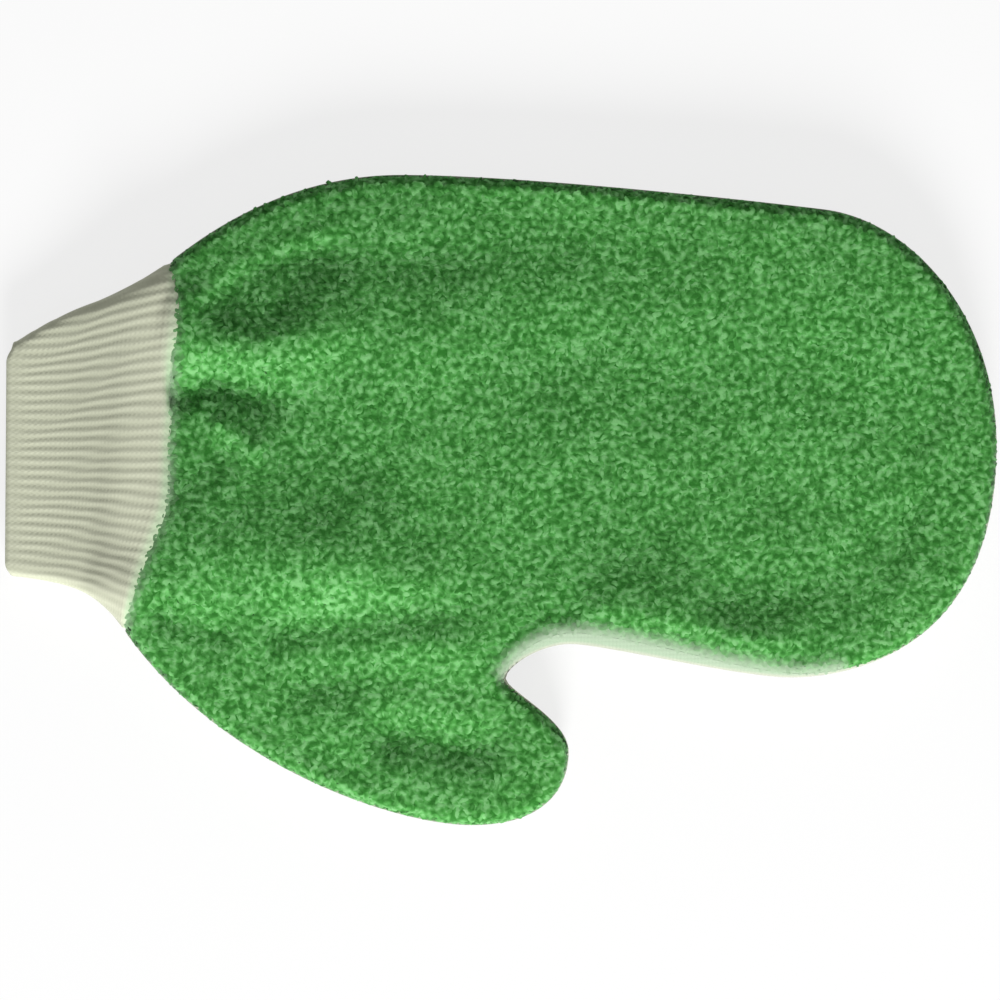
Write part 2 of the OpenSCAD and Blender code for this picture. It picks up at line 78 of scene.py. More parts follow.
# The shapes are worked out in the source's millimetres; the frame says how long one is here
HALF_LENGTH = 140.0
MM = round(cad_box[1][0] / HALF_LENGTH, 6)
HALF_WIDTH = round(cad_box[1][1] / MM, 2)

# A point of each hinge line, from the frame's joints, by the body that the hinge moves
HINGES = {joint["child"]: np.round(np.array(joint["pos_m"]) / MM, 3) for joint in frame["joints"]}
KNUCKLE_X, THUMB_Y = HINGES["fingers"][0], HINGES["thumb"][1]

# Outline nodes, as the source has them: x, y, direction of travel in degrees, and the
# curve handles before and after the node as shares of the distance to its neighbour
WRIST_UPPER = (-92.5, 67.65, 34, 0.52, 0.09)
SHOULDER = (-28, 91.65, 0, 0.52, 0.32)
UPPER_END = (92, 81.85, -8, 0.04, 0.3)
FINGER_TIP = (140, 15.45, -90, 0.445, 0.7)
LOWER_END = (82, -50.05, 180, 0.14, 0.235)
CROTCH_SHOULDER = (20, -40.65, 180, 0.14, 0.43)
CROTCH = (1.6, -50.35, -90, 0.155, 0.12)
THUMB_END = (19.4, -70.95, -90, 0.33, 0.235)
THUMB_LOW = (-8, -91.65, 180, 0.67, 0.19)
WRIST_LOWER = (-105.8, -36.95, 125, 0.415, 0)
HAND_NODES = (WRIST_UPPER, SHOULDER, UPPER_END, FINGER_TIP, LOWER_END, CROTCH_SHOULDER,
              CROTCH, THUMB_END, THUMB_LOW, WRIST_LOWER)
MOUTH_UPPER = (-140, 42.65, 33, 0, 0.56)
MOUTH_LOWER = (-140, -21.35, -5, 0, 0.53)
CUFF_LOWER_END = (*WRIST_LOWER[:2], -55, 0.36, 0)

# Height of the edge seam, of the front above it and the back below it, the width over which
# the edges round off, and how square they are; 2 is a plain round
SEAM_Z, FRONT_RISE, BACK_FALL, RIM = 8.0, 14.0, 8.0, 12.0
FRONT_STEEP, CUFF_STEEP, BACK_STEEP = 4.2, 6.0, 2.5

# The cuff: its length, half its height at the mouth, the pitch of its ribs there and how much
# wider they get towards the wrist, and the height on the photo of the rib that runs level
CUFF_LENGTH, MOUTH_HALF = 46.0, 6.5
RIB_PITCH, RIB_SPREAD, LEVEL_RIB = 2.62, 0.58, 13.5

# How far the seam between pile and jersey lies inside the outline, by outline node: on the side
# nearly all round, and on the front along the crotch and the finger pocket's lower edge, where
# the inset is over ON_FRONT
SEAM_INSETS = ((0, 0.02), (3.55, 0.02), (4, 1.2), (4.55, 3.2), (4.85, 3.5), (5, 3.4), (5.5, 2.4),
               (6, 0.5), (6.4, 0.02), (9, 0.02))
ON_FRONT = 0.8

# How far the cuff's seam bows into the hand on the front, by share of the wrist line
WRIST_BOW = ((0, 0), (0.02, 0), (0.107, 2.6), (0.25, 2.8), (0.375, 5.2), (0.47, 5.3), (0.585, 6.7),
             (0.64, 7.0), (0.7, 5.6), (0.81, 2.6), (0.95, 0), (1, 0))
# How much of the pale band shows beside that seam, by share of the wrist line; the band is painted
# highlight on the seam
WRIST_PALE = ((0, 0.2), (0.2, 0.45), (0.32, 1), (0.47, 0.6), (0.6, 0.9), (0.68, 0.7), (0.8, 0.5),
              (0.95, 0.8), (1, 0.6))

# Rows of points inside the edge of the front and the back: share of the seam's inset, and depth
FRONT_ROWS = ((0.04, 0), (0.14, 0), (0.35, 0), (0.65, 0), (1, 0), (1, 0.06), (1, 0.2), (1, 0.42),
              (0.95, 0.8), (0.85, 1.4), (0.7, 2.3), (0.5, 3.75), (0.25, 5.6), (0, 7.5))
BACK_ROWS = ((0, 0.06), (0, 0.25), (0, 0.65), (0, 1.3), (0, 2.2), (0, 3.6), (0, 5.4), (0, 7.5))
SEAM_ROW = (1, 0)

# Folds of the face, after the source's: path in shares of the half length and half width,
# height, half width, and the lengths over which the ends fade. The last two are in the pile alone.
FOLDS = (
    (((-0.69, 0.57), (-0.5, 0.44), (-0.22, 0.57)), 4.5, 9, 2, 28),
    (((-0.67, 0.32), (-0.54, 0.39), (-0.41, 0.25)), -4, 5, 2, 14),
    (((-0.63, 0.45), (-0.51, 0.73), (-0.4, 0.76), (-0.16, 0.74), (0.2, 0.77)), -1.5, 7, 8, 55),
    (((-0.74, -0.15), (-0.5, -0.2), (-0.24, -0.23), (-0.01, -0.57)), 4.5, 16, 18, 30),
    (((-0.59, 0.14), (-0.39, -0.21), (-0.19, 0.09)), 2, 16, 12, 18),
    (((-0.43, 0.68), (-0.21, 0.46), (0.14, 0.52)), 1.5, 12, 10, 25),
    (((-0.71, -0.34), (-0.51, -0.41)), -2, 5, 4, 8),
    (((-0.5, -0.39), (-0.26, -0.36), (-0.01, -0.33)), -3.5, 7, 8, 18),
    (((-0.14, 0.45), (0.21, 0.43), (0.5, 0.29)), -1.8, 16, 20, 20),
    (((0.14, -0.4), (0.36, -0.36), (0.61, -0.59)), 4.5, 16, 10, 15),
    (((0.43, 0.49), (0.68, 0.35), (0.89, 0.16)), -1.8, 16, 15, 8),
    (((0.43, 0.08), (0.68, -0.01), (0.86, -0.11)), -2, 16, 15, 8),
    (((0.34, -0.33), (0.44, -0.31), (0.66, -0.24), (0.77, -0.26)), -2, 10, 18, 18),
    (((0.8, 0.7), (0.89, 0.33), (0.89, -0.02), (0.8, -0.28)), -1, 13, 15, 15),
    (((-0.47, -0.57), (-0.14, -0.53), (0.01, -0.65)), -2, 7, 14, 14),
    (((-0.3, -0.69), (-0.16, -0.73), (0.04, -0.76)), -3.5, 7, 12, 12),
    (((-0.6, -0.68), (-0.43, -0.82), (-0.21, -0.89)), -1.5, 8, 8, 10),
    (((-0.59, 0.26), (-0.46, 0.13)), 2, 4, 5, 6),
    (((-0.64, 0.59), (-0.5, 0.76), (-0.29, 0.85)), 1, 3, 6, 12),
)
# In the same terms, the droop of the face to its upper edge, which lowers it, and the ridge
# beside its lower edge that runs on over the end of the cuff
DROOP = (((-0.8, 0.6), (-0.58, 0.8), (-0.29, 1.01), (0.14, 0.82), (0.52, 0.76)), 3, 16, 60, 45)
WRIST_RIDGE = (((-0.86, -0.19), (-0.735, -0.285), (-0.69, -0.33)), 2.2, 8, 8, 8)
# Distances from the edge over which the droop, the ridge and the folds come in, and where the
# folds start; then where they start before the cuff's seam, and over what distance
DROOP_RIM, RIDGE_RIM, FOLD_RIM, FOLD_START = 0.8, 3, 11, 1
CUFF_START, CUFF_FADE = -5, 9

# Unevenness of the face: height, the lengths of one radian along x and y, and phase
RIPPLES = ((0.14, 9.1, 23, 0.4), (0.12, 17, -8.3, 2.1), (0.13, 6.3, 7.7, 4.0),
           (0.11, 5.2, -5.9, 1.0), (0.07, 2.9, 3.7, 2.6), (0.06, 3.3, -2.6, 0.8))

# Share of the pile's height by which its ground cloth lies below the outer skin
PILE_SINK = 0.8

# Settings that all colours share
COLOUR = {"size": 3, "min": 0, "max": 1, "subtype": "COLOR"}


class MittSizes(bpy.types.PropertyGroup):
    """Sizes of the mitt's cloths and yarns."""

    pile_height: FloatProperty(
        name="Pile height", description="Height of a loop over its ground cloth",
        default=0.0020, min=0.0005, max=0.006, unit="LENGTH")
    loop_width: FloatProperty(
        name="Loop width", description="Distance between the two feet of a loop",
        default=0.0017, min=0.0005, max=0.008, unit="LENGTH")
    loop_spacing: FloatProperty(
        name="Loop spacing", description="Least distance between two loops",
        default=0.00155, min=0.0008, max=0.01, unit="LENGTH")
    yarn_radius: FloatProperty(
        name="Pile yarn radius", description="Half the thickness of the loop yarn",
        default=0.00072, min=0.0002, max=0.002, unit="LENGTH")
    ruffle: FloatProperty(
        name="Ruffle", description="How far loops are pushed out of shape",
        default=0.0018, min=0.0, max=0.004, unit="LENGTH")
    ground_cloth: FloatProperty(
        name="Ground cloth", description="Thickness of the cloth that carries the loops",
        default=0.0010, min=0.0003, max=0.003, unit="LENGTH")
    jersey: FloatProperty(
        name="Jersey", description="Thickness of the back and lining cloth",
        default=0.0009, min=0.0003, max=0.003, unit="LENGTH")
    rib_cloth: FloatProperty(
        name="Rib cloth", description="Thickness of one layer of the cuff",
        default=0.0010, min=0.0003, max=0.003, unit="LENGTH")
    rib_depth: FloatProperty(
        name="Rib depth", description="Height of a rib over the groove beside it",
        default=0.00018, min=0.0, max=0.003, unit="LENGTH")
    rib_count: IntProperty(
        name="Ribs", description="Number of ribs round the cuff", default=62, min=20, max=120)
    stitch_pitch: FloatProperty(
        name="Stitch pitch", description="Distance between overlock stitches",
        default=0.0030, min=0.001, max=0.01, unit="LENGTH")
    stitch_width: FloatProperty(
        name="Stitch width", description="Width of an overlock stitch across its seam",
        default=0.0030, min=0.001, max=0.01, unit="LENGTH")
    thread_radius: FloatProperty(
        name="Thread radius", description="Half the thickness of the overlock thread",
        default=0.00028, min=0.0001, max=0.001, unit="LENGTH")
    fold_depth: FloatProperty(
        name="Fold depth", description="Depth of the face's folds, 1 as photographed",
        default=1.0, min=0.0, max=2.0, subtype="FACTOR")


class MittColours(bpy.types.PropertyGroup):
    """Colours of the mitt's cloths and yarns."""

    pile: FloatVectorProperty(
        name="Pile", description="Main colour of the loop yarn",
        default=(0.079, 0.316, 0.066), **COLOUR)
    pile_dark: FloatVectorProperty(
        name="Dark pile", description="Colour of the darkest loops",
        default=(0.026, 0.172, 0.020), **COLOUR)
    pile_light: FloatVectorProperty(
        name="Light pile", description="Colour of the palest loops",
        default=(0.190, 0.500, 0.172), **COLOUR)
    jersey: FloatVectorProperty(
        name="Jersey", description="Colour of the back and the lining",
        default=(0.500, 0.525, 0.420), **COLOUR)
    rib: FloatVectorProperty(
        name="Rib knit", description="Colour of the cuff", default=(0.600, 0.620, 0.475), **COLOUR)
    # The grooves' colour is darker than the ribs' as painted shade.
    rib_groove_shade: FloatVectorProperty(
        name="Rib groove", description="Colour in the grooves between ribs",
        default=(0.520, 0.540, 0.405), **COLOUR)
    # The pale band beside the cuff's seam is painted highlight.
    welt: FloatVectorProperty(
        name="Welt", description="Colour of the soft welt between cuff and pile",
        default=(0.460, 0.620, 0.400), **COLOUR)
    # The strip's colour also paints the highlight on the loops beside the cuff's seam.
    strip: FloatVectorProperty(
        name="Strip", description="Colour of the pale strip along the crotch",
        default=(0.335, 0.434, 0.308), **COLOUR)
    thread: FloatVectorProperty(
        name="Thread", description="Colour of the overlock thread",
        default=(0.720, 0.720, 0.640), **COLOUR)


class MittStage(bpy.types.PropertyGroup):
    """Light and floor of the picture."""

    floor: FloatVectorProperty(
        name="Floor", description="Colour of the floor", default=(0.93, 0.93, 0.93), **COLOUR)
    key_power: FloatProperty(
        name="Key light", description="Power of the large soft light at the near side",
        default=80.0, min=0, max=1000, unit="POWER")
    sky: FloatProperty(
        name="Surrounding light", description="Strength of the even light from all round",
        default=0.30, min=0, max=2)
    view_width: FloatProperty(
        name="View width", description="Width of the picture at the mitt's edge",
        default=0.28226, min=0.05, max=2, unit="LENGTH")


# Plane geometry


def ease(t):
    """0 to 1 with soft ends."""
    t = np.clip(t, 0, 1)
    return t * t * (3 - 2 * t)


def soft_ends(share, part):
    """1 along a line, and 0 at its two ends, over a part of it."""
    return ease(share / part) * ease((1 - share) / part)


def smoothed(values, window):
    """Values averaged with their neighbours by a window's weights."""
    return np.convolve(np.pad(values, len(window) // 2, mode="edge"), window / window.sum(), "valid")


def unit(vectors):
    """Vectors made one long."""
    return vectors / np.maximum(np.linalg.norm(vectors, axis=-1), 1e-9)[..., None]


def curve_at(a, b, t):
    """Points at shares t of the smooth curve from node a to node b."""
    start, end = np.array(a[:2], float), np.array(b[:2], float)
    apart = np.linalg.norm(end - start)
    out, into = np.radians(a[2]), np.radians(b[2])
    p1 = start + a[4] * apart * np.array((np.cos(out), np.sin(out)))
    p2 = end - b[3] * apart * np.array((np.cos(into), np.sin(into)))
    t = np.asarray(t, float)[:, None]
    return ((1 - t) ** 3 * start + 3 * (1 - t) ** 2 * t * p1
            + 3 * (1 - t) * t ** 2 * p2 + t ** 3 * end)


def travelled(line):
    """Distance along a line of points."""
    return np.append(0, np.cumsum(np.linalg.norm(np.diff(line, axis=0), axis=1)))


def along(line, s):
    """Points of a line at distances s along it."""
    path = travelled(line)
    return np.stack([np.interp(s, path, line[:, i]) for i in range(line.shape[1])], axis=1)


def nearest(xy, line):
    """Distance of each point from a line, and how far along the line its nearest place is."""
    best, at = np.full(len(xy), 1e9), np.zeros(len(xy))
    for a, b, s in zip(line[:-1], line[1:], travelled(line)):
        v = b - a
        t = np.clip((xy - a) @ v / max(v @ v, 1e-12), 0, 1)
        gap = np.hypot(*(xy - a - t[:, None] * v).T)
        at = np.where(gap < best, s + t * np.linalg.norm(v), at)
        best = np.minimum(gap, best)
    return best, at


def distance(xy, line):
    """Distance of each point from a line."""
    return nearest(xy, line)[0]


def within(xy, ring):
    """Whether each point lies inside a closed ring of points."""
    inside = np.zeros(len(xy), bool)
    for a, b in zip(ring, np.roll(ring, -1, axis=0)):
        if a[1] != b[1]:
            crosses = (a[1] > xy[:, 1]) != (b[1] > xy[:, 1])
            x = a[0] + (xy[:, 1] - a[1]) * (b[0] - a[0]) / (b[1] - a[1])
            inside ^= crosses & (xy[:, 0] < x)
    return inside


def rounded(path):
    """A path with its corners cut off twice."""
    path = np.array(path, float)
    for _ in range(2):
        a, b = path[:-1], path[1:]
        cut = np.stack((0.75 * a + 0.25 * b, 0.25 * a + 0.75 * b), axis=1).reshape(-1, 2)
        path = np.concatenate((path[:1], cut, path[-1:]))
    return path


def fold_height(xy, fold):
    """Height that one fold adds: all of it on the fold's path, and none away from it."""
    path, height, width, fade_in, fade_out = fold
    path = rounded(path) * (HALF_LENGTH, HALF_WIDTH)
    gap, at = nearest(xy, path)
    ends = ease(at / fade_in) * ease((travelled(path)[-1] - at) / fade_out)
    return height * (np.exp(-(gap / width) ** 2) * ends)


def ripple(xy, along_x, along_y, phase=0.0):
    """A wave over the plane, from the lengths of one radian along x and y."""
    return np.sin(xy[:, 0] / along_x + xy[:, 1] / along_y + phase)


def dome(d, rim, steep):
    """Height share of a rounded edge, at distance d inside it."""
    return np.clip(1 - (1 - np.clip(d / rim, 0, 1)) ** steep, 0, 1) ** (1 / steep)


# The hand's outline

SHARES = np.linspace(0, 1, 121)
WRIST_TOP, WRIST_END = np.array(WRIST_UPPER[:2]), np.array(WRIST_LOWER[:2])
WRIST_LENGTH = np.linalg.norm(WRIST_END - WRIST_TOP)
WRIST_DOWN = (WRIST_END - WRIST_TOP) / WRIST_LENGTH
WRIST_ACROSS = np.array((-WRIST_DOWN[1], WRIST_DOWN[0]))


def wrist_share(xy):
    """Share of the wrist line at which each point lies."""
    return (xy - WRIST_TOP) @ WRIST_DOWN / WRIST_LENGTH


def past_wrist(xy):
    """How far each point lies past the wrist line, towards the hand."""
    return (xy - WRIST_TOP) @ WRIST_ACROSS


def wrist_at(share, across=0.0):
    """Points of the wrist line, moved across it into the hand."""
    share = np.asarray(share, float)
    return (WRIST_TOP + share[:, None] * WRIST_LENGTH * WRIST_DOWN
            + np.broadcast_to(across, share.shape)[:, None] * WRIST_ACROSS)


def bow(share):
    """How far the cuff's seam lies inside the hand, at a share of the wrist line."""
    fine = np.linspace(0, 1, 201)
    soft = smoothed(np.interp(fine, *zip(*WRIST_BOW)), np.hanning(21))
    return np.interp(share, fine, soft * soft_ends(fine, 0.05))


def highlight_share(share):
    """How much of the painted highlight beside the cuff's seam shows, at a share of the wrist line."""
    return np.interp(share, *zip(*WRIST_PALE))


@cache
def hand_line():
    """Close points along the hand's outline, from the wrist's upper end to its lower end."""
    parts = [curve_at(a, b, SHARES[:-1]) for a, b in zip(HAND_NODES, HAND_NODES[1:])]
    return np.concatenate(parts + [WRIST_END[None]])


@cache
def edge_line():
    """The whole side line: cuff, hand and cuff again."""
    upper = curve_at(MOUTH_UPPER, WRIST_UPPER, SHARES[:-1])
    lower = curve_at(MOUTH_LOWER, CUFF_LOWER_END, SHARES)
    return np.concatenate((upper, hand_line()[:-1], lower[::-1]))[::4]


@cache
def outline():
    """Points round the hand, the way in from each, the seam's inset, and the marked places.

    The marks are the wrist's ends and the ends of the cuts at the knuckles and the thumb's root.
    The way in leans along a cut near each mark; lean is its share square to the edge.
    """
    spacing, nearby, leaning = 1.7, 0.4, 8
    dense = hand_line()
    path = travelled(dense)
    node_at = path[np.arange(len(HAND_NODES)) * (len(SHARES) - 1)]

    def crossings(values):
        i = np.flatnonzero((values[:-1] > 0) != (values[1:] > 0))
        return path[i] + (path[i + 1] - path[i]) * values[i] / (values[i] - values[i + 1])

    top, bottom = crossings(dense[:, 0] - KNUCKLE_X)[[0, -1]]
    heel = crossings(dense[:, 1] - THUMB_Y)[-1]
    stops = [0, top, bottom, node_at[HAND_NODES.index(CROTCH)], heel, path[-1]]
    s, marks = [np.zeros(1)], [0]
    for a, b in zip(stops, stops[1:]):
        steps = max(2, round((b - a) / spacing))
        s.append(a + (b - a) * np.arange(1, steps + 1) / steps)
        marks.append(marks[-1] + steps)
    s = np.concatenate(s)
    tangent = along(dense, s + nearby) - along(dense, s - nearby)
    square = unit(np.stack((tangent[:, 1], -tangent[:, 0]), axis=1))
    inward = square
    cuts = (WRIST_DOWN, (0, -1), (0, 1), (-1, 0), (1, 0), -WRIST_DOWN)
    for mark, cut in zip(marks, cuts):
        w = ease(1 - np.abs(np.arange(len(s)) - mark) / leaning)[:, None]
        inward = inward * (1 - w) + np.array(cut) * w
    inward = unit(inward)
    insets = np.interp(np.interp(s, node_at, np.arange(len(node_at))), *zip(*SEAM_INSETS))
    return SimpleNamespace(points=along(dense, s), inward=inward, marks=marks,
                           insets=smoothed(insets, np.ones(7)), lean=(inward * square).sum(axis=1))


# The hand's skin


def front_height(xy, depth, d=None):
    """Height of the front of the hand, at known distances from its edge where they are given."""
    d = distance(xy, edge_line()) if d is None else d
    z = SEAM_Z + FRONT_RISE * dome(d, RIM, FRONT_STEEP)
    z = z - depth * fold_height(xy, DROOP) * ease(d / DROOP_RIM)
    z = z + depth * fold_height(xy, WRIST_RIDGE) * ease(d / RIDGE_RIM)
    folds = sum(height * ripple(xy, *wave) for height, *wave in RIPPLES)
    folds = folds + sum(fold_height(xy, fold) for fold in FOLDS)
    from_cuff = past_wrist(xy) - bow(np.clip(wrist_share(xy), 0, 1))
    folds = depth * folds * ease((d - FOLD_START) / FOLD_RIM)
    return z + folds * ease((from_cuff - CUFF_START) / CUFF_FADE)


def back_height(xy, d=None):
    """Height of the back of the hand, which lies flat but for a few soft dents."""
    broad, narrow, flat_rim, dent_fade = 0.7, 0.5, 4, 12
    d = distance(xy, edge_line()) if d is None else d
    dents = (broad * np.clip(ripple(xy, 13, 19, 0.7) * ripple(xy, 29, -15), 0, 1)
             + narrow * np.clip(ripple(xy, 7.5, -21, 2.0), 0, 1) ** 3)
    return SEAM_Z - BACK_FALL * dome(d, RIM, BACK_STEEP) + dents * ease((d - flat_rim) / dent_fade)


def chain(ids):
    """Edges between points that follow one another."""
    return list(zip(ids, ids[1:]))


def triangle_grid(low, high, spacing):
    """Points of even triangles over a rectangle."""
    row_share = 0.866
    xs = np.arange(low[0], high[0], spacing)
    ys = np.arange(low[1], high[1], spacing * row_share)
    return np.concatenate([np.stack((xs + (k % 2) * spacing / 2, np.full(len(xs), y)), axis=1)
                           for k, y in enumerate(ys)])


def triangles(points, edges, ring):
    """Triangles between points, with the given edges kept, inside a ring, and each point's number."""
    made = delaunay_2d_cdt([Vector(p) for p in points], edges, [], 0, 1e-5, True)
    xy = np.array([v[:] for v in made[0]])
    faces = np.array([f for f in made[2] if len(f) == 3])
    faces = faces[within(xy[faces].mean(axis=1), ring)]
    a, b, c = (xy[faces[:, i]] for i in range(3))
    turn = (b[:, 0] - a[:, 0]) * (c[:, 1] - a[:, 1]) - (b[:, 1] - a[:, 1]) * (c[:, 0] - a[:, 0])
    faces = np.where((turn < 0)[:, None], faces[:, ::-1], faces)[np.abs(turn) > 1e-7]
    place = {old: new for new, olds in enumerate(made[3]) for old in olds}
    return xy, faces, place


def skin_side(rim_rows, wrist, spacing, keep_seam):
    """One side of the hand: points, triangles, distances from the edge, and the edge's points.

    Rows of points follow the edge, lines of points follow the cuts, and a grid fills the rest.
    """
    # Room beside the cuts and the wrist as shares of the spacing, and the least room of other
    # points at the wrist; where the thumb's cut ends; the depth up to which distances are exact
    cut_room, grid_room, wrist_room, thumb_cut_end, exact = 0.55, 0.7, 0.45, 10, 1.5
    edge = outline()
    count = len(edge.points)
    depths = [np.zeros(count)] + [edge.insets * part + base for part, base in rim_rows]
    points = [edge.points + edge.inward * depth[:, None] for depth in depths]
    inner = points[-1]
    firsts = np.arange(len(points)) * count
    edges = chain(range(count))
    if keep_seam:
        first = count * (rim_rows.index(SEAM_ROW) + 1)
        edges += chain(range(first, first + count))
    wrist_ids = np.arange(len(wrist)) + count * len(points)
    points.append(wrist)
    edges += chain([0, *wrist_ids, count - 1])
    for a, b in (edge.marks[1:3], edge.marks[3:5]):
        steps = int(np.linalg.norm(inner[a] - inner[b]) / spacing)
        first = sum(map(len, points))
        points.append(inner[a] + (inner[b] - inner[a]) * (np.arange(1, steps) / steps)[:, None])
        edges += chain([*firsts + a, *range(first, first + steps - 1), *firsts[::-1] + b])

    ring = np.concatenate((edge.points, wrist[::-1]))
    grid = triangle_grid(edge.points.min(axis=0), edge.points.max(axis=0), spacing)
    cut_room *= spacing
    clear = within(grid, ring) & (distance(grid, edge.points) > rim_rows[-1][1] + cut_room)
    clear &= distance(grid, wrist) > grid_room * spacing
    clear &= np.abs(grid[:, 0] - KNUCKLE_X) > cut_room
    clear &= (np.abs(grid[:, 1] - THUMB_Y) > cut_room) | (grid[:, 0] > thumb_cut_end)
    kept = np.concatenate(points)
    outside = ~within(kept, ring) & (distance(kept, np.append(ring, ring[:1], axis=0)) > 1e-6)
    drop = outside | (distance(kept, wrist) < wrist_room)
    drop[:count] = drop[wrist_ids] = False
    renumber = np.cumsum(~drop) - 1
    edges = [(int(renumber[a]), int(renumber[b])) for a, b in edges if not drop[a] and not drop[b]]
    xy, faces, place = triangles(np.concatenate((kept[~drop], grid[clear])), edges, ring)

    d = distance(xy, edge_line())
    rim = np.concatenate([depth * edge.lean for depth in depths])
    for old, known in enumerate(rim[~drop[:len(rim)]]):
        d[place[old]] = known if known < exact else d[place[old]]
    return xy, faces, d, [place[i] for i in range(count)]


def point_normals(points, faces):
    """Normals at points, from the triangles round them."""
    a, b, c = (points[faces[:, i]] for i in range(3))
    normals = np.zeros_like(points)
    for i in range(3):
        np.add.at(normals, faces[:, i], np.cross(b - a, c - a))
    return unit(normals)


@cache
def hand_skin(depth):
    """The hand's outer skin: points, normals, the triangles of its face and back, and what
    the cloths need to know at each point."""
    front_spacing, back_spacing = 2.0, 3.2
    highlight_pale, highlight_reach, crotch_pale, crotch_reach = 0.85, 3.4, 0.9, 4.2
    strip_start, strip_fade = 0.25, 0.8
    edge = outline()
    share = np.linspace(0, 1, 62)[1:-1]
    wrist = wrist_at(share, bow(share))
    f_xy, f_faces, f_d, f_edge = skin_side(FRONT_ROWS, wrist, front_spacing, True)
    b_xy, b_faces, b_d, b_edge = skin_side(BACK_ROWS, wrist_at(share), back_spacing, False)
    seam = edge.points + edge.inward * edge.insets[:, None]
    is_face = within(f_xy[f_faces].mean(axis=1), np.concatenate((seam, wrist[::-1])))
    points = np.concatenate((np.column_stack((f_xy, front_height(f_xy, depth, f_d))),
                             np.column_stack((b_xy, back_height(b_xy, b_d)))))
    join = np.arange(len(points))
    join[np.array(b_edge) + len(f_xy)] = f_edge
    back = join[b_faces + len(f_xy)][:, ::-1]
    xy = points[:, :2]
    from_wrist = distance(xy, wrist)
    # Beside the cuff's seam the pile is paled as painted highlight; beside the crotch's pale strip it
    # takes the strip's own colour.
    welt = highlight_pale * highlight_share(wrist_share(xy)) * ease(1 - from_wrist / highlight_reach)
    crotch = crotch_pale * ease(1 - distance(xy, seam[edge.insets > ON_FRONT]) / crotch_reach)
    return SimpleNamespace(
        points=points, normals=point_normals(points, np.concatenate((f_faces, back))),
        face=f_faces[is_face], back=np.concatenate((f_faces[~is_face], back)),
        from_edge=np.append(f_d, b_d), from_seam=distance(xy, seam), from_wrist=from_wrist,
        pale=np.maximum(welt, crotch),
        strip=np.append(ease((f_d - strip_start) / strip_fade), 0 * b_d))


def of_body(points, faces, body):
    """The faces that belong to one body."""
    x, y = points[faces][:, :, :2].mean(axis=1).T
    fingers, thumb = x > KNUCKLE_X, (y < THUMB_Y) & (x < KNUCKLE_X)
    return faces[{"fingers": fingers, "thumb": thumb, "palm": ~fingers & ~thumb}[body]]


# Meshes and pieces


def add_object(name, data):
    """A new object in the scene."""
    found = bpy.data.objects.new(name, data)
    bpy.context.scene.collection.objects.link(found)
    return found


def add_piece(name, points, faces, material):
    """A smooth-shaded mesh object from points in millimetres."""
    mesh = bpy.data.meshes.new(name)
    mesh.from_pydata((np.asarray(points) * MM).tolist(), [], [list(map(int, f)) for f in faces])
    mesh.polygons.foreach_set("use_smooth", np.ones(len(mesh.polygons), bool))
    mesh.materials.append(material)
    mesh.update()
    return add_object(name, mesh)


def store(mesh, name, values):
    """Gives a mesh a number at each point."""
    mesh.attributes.new(name, "FLOAT", "POINT").data.foreach_set("value", values)


def add_cloth(name, outer, inner, faces, material, creased=True):
    """A cloth with two skins, closed along its edges by a rim."""
    used, found = np.unique(faces, return_inverse=True)
    faces = found.reshape(faces.shape)
    count, corners = len(used), faces.shape[1]
    sides = np.concatenate([faces[:, [i, (i + 1) % corners]] for i in range(corners)]).tolist()
    seen = set(map(tuple, sides))
    rim = [(b, a, a + count, b + count) for a, b in sides if (b, a) not in seen]
    skins = faces.tolist() + (faces[:, ::-1] + count).tolist()
    piece = add_piece(name, np.concatenate((outer[used], inner[used])), skins + rim, material)
    if creased:
        crease(piece, len(skins))
    return piece


def set_pale(piece, share):
    """Gives a cloth the share of pale colour at each point, the same on both skins."""
    store(piece.data, "pale", np.append(share, share))


def crease(piece, first):
    """Keeps the shading of a cloth's skins apart from its rim, whose faces come from first on."""
    mesh = piece.data
    sharp = {key for face in mesh.polygons[first:] for key in face.edge_keys}
    marks = np.array([tuple(sorted(edge.vertices)) in sharp for edge in mesh.edges])
    mesh.attributes.new("sharp_edge", "BOOLEAN", "EDGE").data.foreach_set("value", marks)


def add_grid(name, outer, inner, material, closed, uv=None):
    """A cloth with two skins from two grids of points, round or open along its columns."""
    rows, columns = outer.shape[:2]
    at = np.arange(rows * columns).reshape(rows, columns)
    near, far = (at, np.roll(at, -1, axis=1)) if closed else (at[:, :-1], at[:, 1:])
    quads = np.stack((near[:-1], near[1:], far[1:], far[:-1]), axis=-1).reshape(-1, 4)
    piece = add_cloth(name, outer.reshape(-1, 3), inner.reshape(-1, 3), quads, material, False)
    if uv is not None:
        place_map(piece, np.concatenate((uv, uv)).reshape(-1, 2), columns)
    return piece


def place_map(piece, uv, columns):
    """Gives a round piece a map by point, in which the last column's faces run on past the turn."""
    mesh = piece.data
    corners = np.zeros(len(mesh.loops), int)
    mesh.loops.foreach_get("vertex_index", corners)
    found = uv[corners]
    start = np.zeros(len(mesh.polygons), int)
    size = np.zeros(len(mesh.polygons), int)
    mesh.polygons.foreach_get("loop_start", start)
    mesh.polygons.foreach_get("loop_total", size)
    high = np.repeat(np.maximum.reduceat(found[:, 0], start), size)
    span = uv[:, 0].max() - uv[:, 0].min()
    turned = span * columns / (columns - 1)
    found[:, 0] += np.where(high - found[:, 0] > span / 2, turned, 0)
    mesh.uv_layers.new(name="knit").data.foreach_set("uv", found.ravel())


